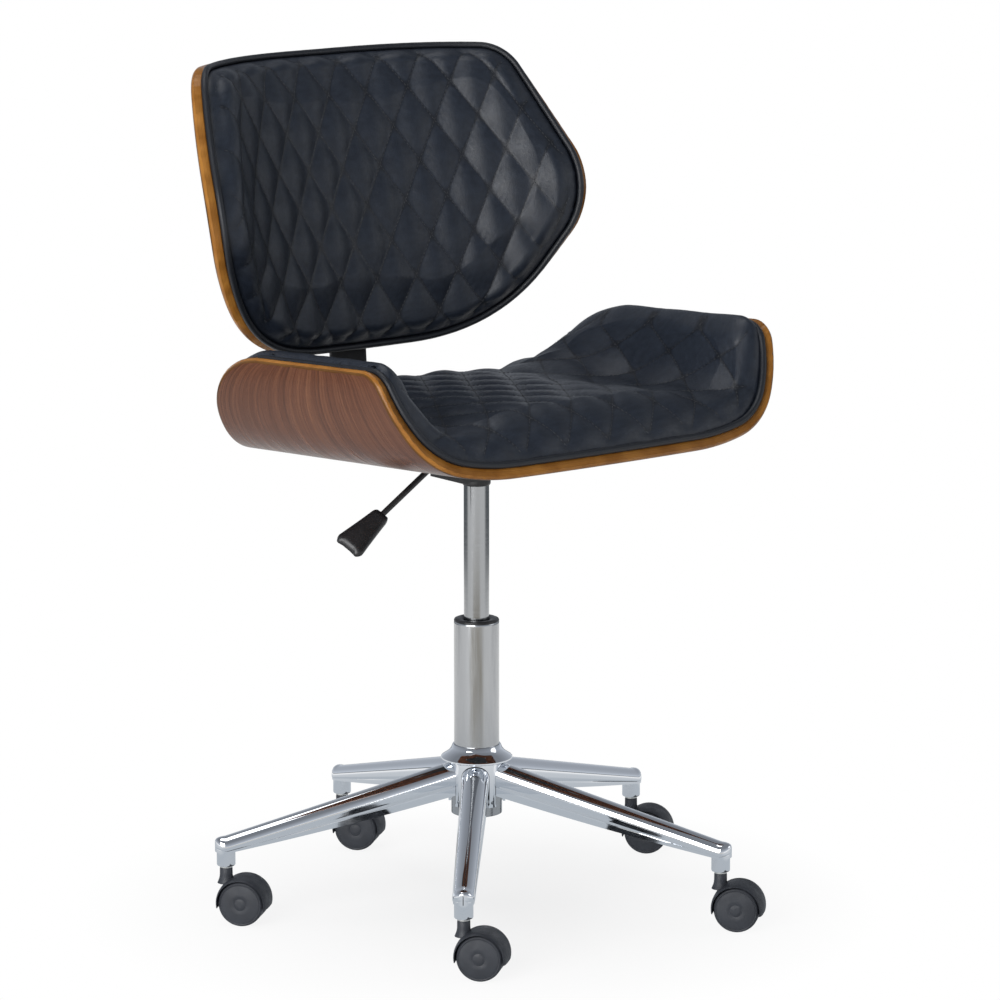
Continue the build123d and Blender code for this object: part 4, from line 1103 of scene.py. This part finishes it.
def blown_up(name, columns, rows, place, held):
    """Cloth under pressure with its rim held: how far each crossing of the net rises, in mm."""
    cover, u, v = wrapped(name, columns, rows, place)
    rest, normals = read(cover), read(cover, "normal")
    pins = cover.vertex_groups.new(name="rim")
    for number in np.flatnonzero(held(u, v)):
        pins.add([int(number)], 1.0, "REPLACE")
    pick(cover)
    cloth = cover.modifiers.new("cover", "CLOTH")
    settings = cloth.settings
    settings.vertex_group_mass = "rim"
    settings.use_pressure = True
    settings.uniform_pressure_force = COVER_PRESSURE
    settings.effector_weights.gravity = 0
    settings.tension_stiffness = settings.compression_stiffness = COVER_STIFFNESS
    settings.shrink_min = -COVER_GROWTH
    scene = bpy.context.scene
    cloth.point_cache.frame_start, cloth.point_cache.frame_end = 1, COVER_FRAMES
    for number in range(1, COVER_FRAMES + 1):
        scene.frame_set(number)
    bpy.ops.object.modifier_apply(modifier=cloth.name)
    scene.frame_set(1)
    rise = np.sum((read(cover) - rest) * normals, axis=1) / MM
    bpy.data.objects.remove(cover)
    print(name, "rises up to", round(float(rise.max()), 1), "mm")
    return u, v, rise


def read_net(u, v, rise, at_u, at_v):
    """The rise between the crossings of a coarser net, evened out by the foam under the cover."""
    order = np.lexsort((np.round(u, 6), np.round(v, 6)))
    across = len(np.unique(np.round(u, 6)))
    table = rise[order].reshape(-1, across)
    for _ in range(SMOOTHING_PASSES):
        wide = np.pad(table, 1, mode="edge")
        table = (wide[1:-1, :-2] + wide[1:-1, 2:] + wide[:-2, 1:-1] + wide[2:, 1:-1]) / 4
    down = table.shape[0]
    x, y = at_u * (across - 1), at_v * (down - 1)
    i, j = np.minimum(x.astype(int), across - 2), np.minimum(y.astype(int), down - 2)
    fx, fy = x - i, y - j
    low = table[j, i] * (1 - fx) + table[j, i + 1] * fx
    high = table[j + 1, i] * (1 - fx) + table[j + 1, i + 1] * fx
    return low * (1 - fy) + high * fy

# %% [markdown]
# The fine net of a pad has a crossing about every two millimetres, so that the seams are real valleys. A
# coarser net closes it underneath, where it is glued, and a bridge joins the two rims.


# %% Pads
PAD_INSET, UNDER_INSET = 3.5, 2
GLUE_LINE = 0.1
PAD_CROWDING = (0.3, 0.55)
COVER_SHARE, UNDER_SHARE = 3, 5
HELD_RIM, SEWN_FROM, SEWN_RUN = 6, 6, 18
CROWN_CAP = 4.0
SEAT_DEPTH, BACK_DEPTH, PUCKER_DEPTH = 3.0, 5.0, 0.2
TAUT_SHARE, TAUT_FROM, TAUT_TO = 0.40, 170, 260
SEAT_CELLS, BACK_CELLS, FOAM_FILL = (300, 240), (270, 200), 0.8
SEAT_SECTION = (SEAT_FLAT, SEAT_BENDS, PLY + 36)
BACK_SECTION = (0, BACK_BENDS, 27)


def pressed_in(piece, dents):
    """Move each point along the normal of the surface by its dent in mm, and return the normals."""
    normals = read(piece, "normal")
    write(piece, read(piece) + normals * dents[:, None] * MM)
    return normals


def make_pad(name, curves, on_form, base, section, foam, bulge, quilt, depth, cells, node):
    """A quilted pad in a board, from its outline, its foam and the place of its seams."""
    outline = moved_in(curves, PAD_INSET)
    net, under_net = net_in(outline), net_in(moved_in(curves, PAD_INSET + UNDER_INSET))
    flat, bends, map_depth = section
    columns, rows = cells
    crown = None

    def mapped(points):
        return np.column_stack([surface_length(points[:, 0], map_depth, flat, bends), points[:, 1]])

    flat_curves = [mapped(curve) for curve in outline]

    def bare(u, v):
        """The cover before it is sewn: its place on the sheet, distance from the rim, rise and hide."""
        sheet = net(crowded(u, PAD_CROWDING[0]), crowded(v, PAD_CROWDING[1]))
        on_map = mapped(sheet)
        distance = rim_distance(flat_curves, on_map)
        thickness, width = foam(*on_map.T)
        rise = thickness * shoulder(distance, width)
        sheet[:, 0] += np.sign(sheet[:, 0]) * bulge(sheet[:, 0]) * np.sin(math.pi * rise / thickness)
        return sheet, distance, rise, over_edge(on_map, thickness - rise)

    def held(u, v):
        return bare(u, v)[1] < HELD_RIM

    def place(u, v):
        sheet, _, rise, _ = bare(u, v)
        if crown is not None:
            rise = np.maximum(rise + np.clip(read_net(*crown, u, v), -CROWN_CAP, CROWN_CAP), 0)
        return on_form(*sheet.T, base + rise)

    def glued(u, v):
        return on_form(*under_net(u, v).T, np.full(len(u), base))

    crown = blown_up(name + "_cover", columns // COVER_SHARE, rows // COVER_SHARE, place, held)
    pad, u, v = wrapped(name, columns, rows, place)
    _, distance, rise, hide = bare(u, v)
    full, pucker = puffs(*hide.T, quilt)
    sewn = ease(distance + rise, SEWN_FROM, SEWN_RUN)
    slack = 1 - TAUT_SHARE * ease(np.abs(hide[:, 0]), TAUT_FROM, TAUT_TO - TAUT_FROM)
    normals = pressed_in(pad, sewn * slack * (depth * (full - 1) + PUCKER_DEPTH * pucker))
    flat_map(pad, "hide", hide)
    # the puff share also sets the painted shade that darkens the leather in the seams
    store(pad, "puff", 1 - sewn * (1 - full))
    cover = {"hide": hide, "sewn": sewn, "normals": normals, "faces": len(pad.data.polygons)}
    under, u, v = wrapped(name + "_under", columns // UNDER_SHARE, rows // UNDER_SHARE, glued)
    flat_map(under, "hide", mapped(under_net(u, v)))
    store(under, "puff", np.zeros(len(u)))
    pick(pad, under)
    bpy.ops.object.join()
    close_rims(pad, bpy.ops.mesh.bridge_edge_loops)
    smooth(pad, 70)
    dress(pad, "seat", "quilted_leather", leather, node)
    print(name, len(pad.data.polygons), "faces")
    return pad, cover


seat_pad = make_pad(
    "seat_cushion", SEAT_CURVES, on_seat, PLY + GLUE_LINE, SEAT_SECTION, seat_foam, wing_bulge,
    SEAT_QUILT, SEAT_DEPTH, SEAT_CELLS, "seat_pad",
)
back_pad = make_pad(
    "back_cushion", BACK_CURVES, on_back, GLUE_LINE, BACK_SECTION, back_foam, no_bulge,
    BACK_QUILT, BACK_DEPTH, BACK_CELLS, "back_pad",
)

# %% [markdown]
# A welt is a strip of leather sewn round a cord. It runs right round each pad and covers the joint with
# the board. It is a tube along the outline: a grid rolled up and laid along the edge.

# %% Welts
WELT_RADIUS, WELT_SIDES = 3.6, 18
WELT_WAVES, WELT_WAVE_SHARE = (19.5, 48.4), 0.012


def make_welt(name, curves, on_form, base, count):
    ring = ring_of(curves)
    ring = evenly(np.vstack([ring, ring[:1]]), count + 1)
    share = np.linspace(0, 1, count + 1)
    line = np.column_stack(on_form(*ring.T, base + WELT_RADIUS))
    upward = np.column_stack(on_form(*ring.T, base + WELT_RADIUS + 1)) - line
    tangent = np.roll(line[:-1], -1, axis=0) - np.roll(line[:-1], 1, axis=0)
    tangent = np.vstack([tangent, tangent[:1]])
    outward = np.cross(tangent, upward)
    outward /= np.linalg.norm(outward, axis=1)[:, None]
    length = np.linalg.norm(np.diff(line, axis=0), axis=1).cumsum()[-1]
    short, long = (2 * math.pi * round(length / wave) for wave in WELT_WAVES)

    def place(u, v):
        angle = 2 * math.pi * v
        radius = WELT_RADIUS * (1 + WELT_WAVE_SHARE * np.sin(short * u) * np.sin(long * u))
        spot = between(u, share, line) + (radius * np.cos(angle))[:, None] * between(u, share, outward)
        return (spot + (radius * np.sin(angle))[:, None] * between(u, share, upward)).T

    welt, u, v = wrapped(name, count, WELT_SIDES, place)
    flat_map(welt, "hide", np.column_stack([u * length, v * 2 * math.pi * WELT_RADIUS]))
    store(welt, "puff", np.ones(len(u)))
    close_mesh(welt, 2e-6)
    smooth(welt, 60)
    dress(welt, "seat", "quilted_leather", welt_leather)
    print(name, round(length), "mm long")


make_welt("seat_welt", SEAT_CURVES, on_seat, PLY + GLUE_LINE, 900)
make_welt("back_welt", BACK_CURVES, on_back, GLUE_LINE, 800)

# %% [markdown]
# Black thread lies in every seam, one stitch about every five millimetres. A stitch is a slim bead of a
# dozen faces; each one is dropped onto the finished pad, so that it lies in the bottom of its seam.

# %% Where the stitches go
STITCH_PITCH, STITCH_LENGTH = 5.0, 3.9
SEAMS_EACH_WAY, STITCHES_EACH_WAY = 30, 140
SEWN_ENOUGH = 0.6


def seam_points(quilt, reach):
    """Ends of all stitches on the flat hide, seam by seam."""
    across, phases = quilt
    ends = []
    step = np.array([across, QUILT_ALONG]) / math.hypot(across, QUILT_ALONG)
    for lean, phase in ((-1, phases[0]), (1, phases[1])):
        direction = step * (1, lean)
        for row in range(-SEAMS_EACH_WAY, SEAMS_EACH_WAY + 1):
            start = np.array([(2 * row + phase) * across, 0.0])
            for stitch in range(-STITCHES_EACH_WAY, STITCHES_EACH_WAY + 1):
                first = start + direction * stitch * STITCH_PITCH
                ends.append((first, first + direction * STITCH_LENGTH))
    ends = np.array(ends)
    return ends[np.all(np.abs(ends) < reach, axis=(1, 2))]


def on_cover(pad):
    """A rule that finds a place of the flat hide on the finished pad, with the normal there."""
    piece, cover = pad
    hide, triangles = cover["hide"], []
    for face in piece.data.polygons[: cover["faces"]]:
        a, b, c, d = face.vertices
        triangles += [(a, b, c), (a, c, d)]
    tree = BVHTree.FromPolygons([(x, y, 0) for x, y in hide], triangles)
    points = read(piece)

    def find(x, y):
        hit, _, index, _ = tree.ray_cast(Vector((x, y, 1)), Vector((0, 0, -1)))
        if hit is None:
            return None
        corners = list(triangles[index])
        flat = np.column_stack([hide[corners], np.ones(3)])
        shares = np.linalg.solve(flat.T, (x, y, 1))
        if shares @ cover["sewn"][corners] < SEWN_ENOUGH:
            return None
        return Vector(shares @ points[corners]), Vector(shares @ cover["normals"][corners])

    return find


# %% Stitches
STITCH_RADIUS, STITCH_LIFT = 0.36, 0.35
SEAT_SEAM_REACH, BACK_SEAM_REACH = (420, 300), (420, 230)
BEAD_RING = [
    (share, across, rise) for share in (0.3, 0.7) for across, rise in ((1, 0), (0, 1), (-1, 0), (0, -1))
]
BEAD_FACES = [(0, 1, 2), (0, 2, 3), (0, 3, 4), (0, 4, 1), (9, 6, 5), (9, 7, 6), (9, 8, 7), (9, 5, 8)]
BEAD_SIDES = [(1, 5, 6, 2), (2, 6, 7, 3), (3, 7, 8, 4), (4, 8, 5, 1)]


def make_stitches(name, pad, quilt, reach):
    find = on_cover(pad)
    points, faces = [], []
    for one, other in seam_points(quilt, reach):
        first_end, second_end = find(*one), find(*other)
        if first_end is None or second_end is None:
            continue
        (start, up), (end, _) = first_end, second_end
        side = (end - start).cross(up).normalized()
        up = side.cross(end - start).normalized()
        lift = up * STITCH_RADIUS * STITCH_LIFT * MM
        first = len(points)
        points.append(start - lift)
        for share, across, rise in BEAD_RING:
            points.append(start.lerp(end, share) + lift + (side * across + up * rise) * STITCH_RADIUS * MM)
        points.append(end - lift)
        faces += [tuple(first + corner for corner in face) for face in BEAD_FACES + BEAD_SIDES]
    mesh = bpy.data.meshes.new(name)
    mesh.from_pydata(points, [], faces)
    stitches = bpy.data.objects.new(name, mesh)
    bpy.context.scene.collection.objects.link(stitches)
    close_mesh(stitches, 1e-8)
    smooth(stitches, 80)
    dress(stitches, "seat", "quilted_leather", thread)
    print(name, len(faces) // len(BEAD_FACES + BEAD_SIDES))


make_stitches("seat_stitches", seat_pad, SEAT_QUILT, SEAT_SEAM_REACH)
make_stitches("back_stitches", back_pad, BACK_QUILT, BACK_SEAM_REACH)

# %% [markdown]
# The lever's paddle is a moulded wedge with a wavy end, rolled so that its face looks up and forwards. The
# bracket is a flat bar with rounded edges, bent twice on its way from under the seat to behind the back.


# %% Paddle
PADDLE_TOP, PADDLE_ROD_END, PADDLE_ROLL = (-129, 458), (-60, 503), math.radians(-40)
PADDLE_LENGTH, PADDLE_WAVE = 58, 0.9
PADDLE_HALF, PADDLE_SPREAD, PADDLE_SPREAD_POWER = 9.5, 8.5, 1.15
PADDLE_THICK, PADDLE_THINNING = 6.4, 1.4
NOSE_FROM, NOSE_RUN, NOSE_REACH = 0.76, 0.23, 0.24
PADDLE_CELLS = (48, 64)


def squarish(value, power):
    """A sine or cosine that stays longer near 1, for sections between round and square."""
    return np.sign(value) * np.abs(value) ** power


def paddle_place(along, around):
    angle = 2 * math.pi * around
    nose = np.sqrt(1 - (np.clip(np.abs(2 * along - 1) - NOSE_FROM, 0, NOSE_RUN) / NOSE_REACH) ** 2)
    side = squarish(np.cos(angle), 0.7) * (0.7 + 0.3 * nose)
    up = squarish(np.sin(angle), 0.6) * nose
    wave = np.where(np.abs(side) > 1 / 3, np.cos(3 * math.pi * (np.abs(side) - 2 / 3)), -1)
    half = PADDLE_HALF + PADDLE_SPREAD * along**PADDLE_SPREAD_POWER
    thick = PADDLE_THICK - PADDLE_THINNING * along
    return along * (PADDLE_LENGTH + PADDLE_WAVE * wave), side * half, up * thick


def make_paddle():
    paddle = closed_tube("paddle", *PADDLE_CELLS, paddle_place)
    (x, z), (rod_x, rod_z) = PADDLE_TOP, PADDLE_ROD_END
    slope = math.atan2(rod_z - z, rod_x - x)
    turn = Matrix.Rotation(math.pi - slope, 4, "Y") @ Matrix.Rotation(PADDLE_ROLL, 4, "X")
    paddle.data.transform(Matrix.Translation((x * MM, 0, z * MM)) @ turn)
    smooth(paddle, 45)
    dress(paddle, "lever", "black_plastic", smooth_plastic, "lever_paddle")


make_paddle()

# %% Bracket
BRACKET_HALF, BRACKET_THICKNESS, BRACKET_END_ROUND = 25, 6, 14
BRACKET_PLATE, BRACKET_CELLS = 3, (140, 48)
BRACKET_START, BRACKET_FOOT = 64, 233
BRACKET_LEAN, BRACKET_END = -110, 25
FOOT_BEND, LEAN_BEND, PATH_STEPS = 30, 80, 400


def make_bracket():
    under, behind = -BRACKET_PLATE - BRACKET_THICKNESS / 2, PLY + GLUE_LINE + BRACKET_THICKNESS / 2
    start, foot = (np.array(on_seat(0, y, under))[1:] for y in (BRACKET_START, BRACKET_FOOT))
    lean, end = (np.array(on_back(0, height, -behind))[1:] for height in (BRACKET_LEAN, BRACKET_END))
    bends = rounded(start, foot, lean, FOOT_BEND), rounded(foot, lean, end, LEAN_BEND)
    path = evenly(np.vstack([[start], *bends, [end]]), PATH_STEPS)
    heading = np.gradient(path, axis=0)
    heading /= np.linalg.norm(heading, axis=1)[:, None]
    length, share = steps_along(path)[-1], np.linspace(0, 1, PATH_STEPS)

    def bar_place(along, around):
        angle = 2 * math.pi * around
        (y, z), (dy, dz) = (between(along, share, rows).T for rows in (path, heading))
        from_end = np.clip(BRACKET_END_ROUND - length * np.minimum(along, 1 - along), 0, BRACKET_END_ROUND)
        half = BRACKET_HALF - BRACKET_END_ROUND + np.sqrt(BRACKET_END_ROUND**2 - from_end**2)
        across = squarish(np.cos(angle), 0.3) * half
        rise = squarish(np.sin(angle), 0.5) * BRACKET_THICKNESS / 2
        return across, y - dz * rise, z + dy * rise

    bar = closed_tube("bracket_bar", *BRACKET_CELLS, bar_place)
    smooth(bar, 40)
    dress(bar, "seat", "black_steel", powder, "back_bracket")


make_bracket()

# %% [markdown]
# What is left of the frame keeps its own shape: the hub, the carrier, the lever's rod, the bolts and what
# is inside the lift. Each gets its finish: powder coat on the pressed steel, zinc on the fasteners.

# %% Finishes of the frame's own pieces
AXLES = [f"caster_{number}_axle" for number in range(1, LEG_COUNT + 1)]
FASTENERS = ["seat_bolts", "bracket_bolts", "back_bolts", "seat_tee_nuts", "back_tee_nuts", "lever_pin"]
LIFT_INSIDE = ["caster_stems", "thrust_bearing", "rod_clip", "piston", "release_button"]
FRAME_FINISHES = (
    (chrome, ["hub_skirt"]),
    (satin, ["hub_core"]),
    (polished, ["piston_rod"]),
    (bush_plastic, ["cylinder_gland"]),
    (powder, ["seat_carrier", "lever_rod"]),
    (zinc, AXLES + FASTENERS + LIFT_INSIDE),
)
for material, names in FRAME_FINISHES:
    for name in names:
        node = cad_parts[name]
        node.data.materials.clear()
        node.data.materials.append(material)
    print(material.name, "on", len(names), "of the frame's own pieces")
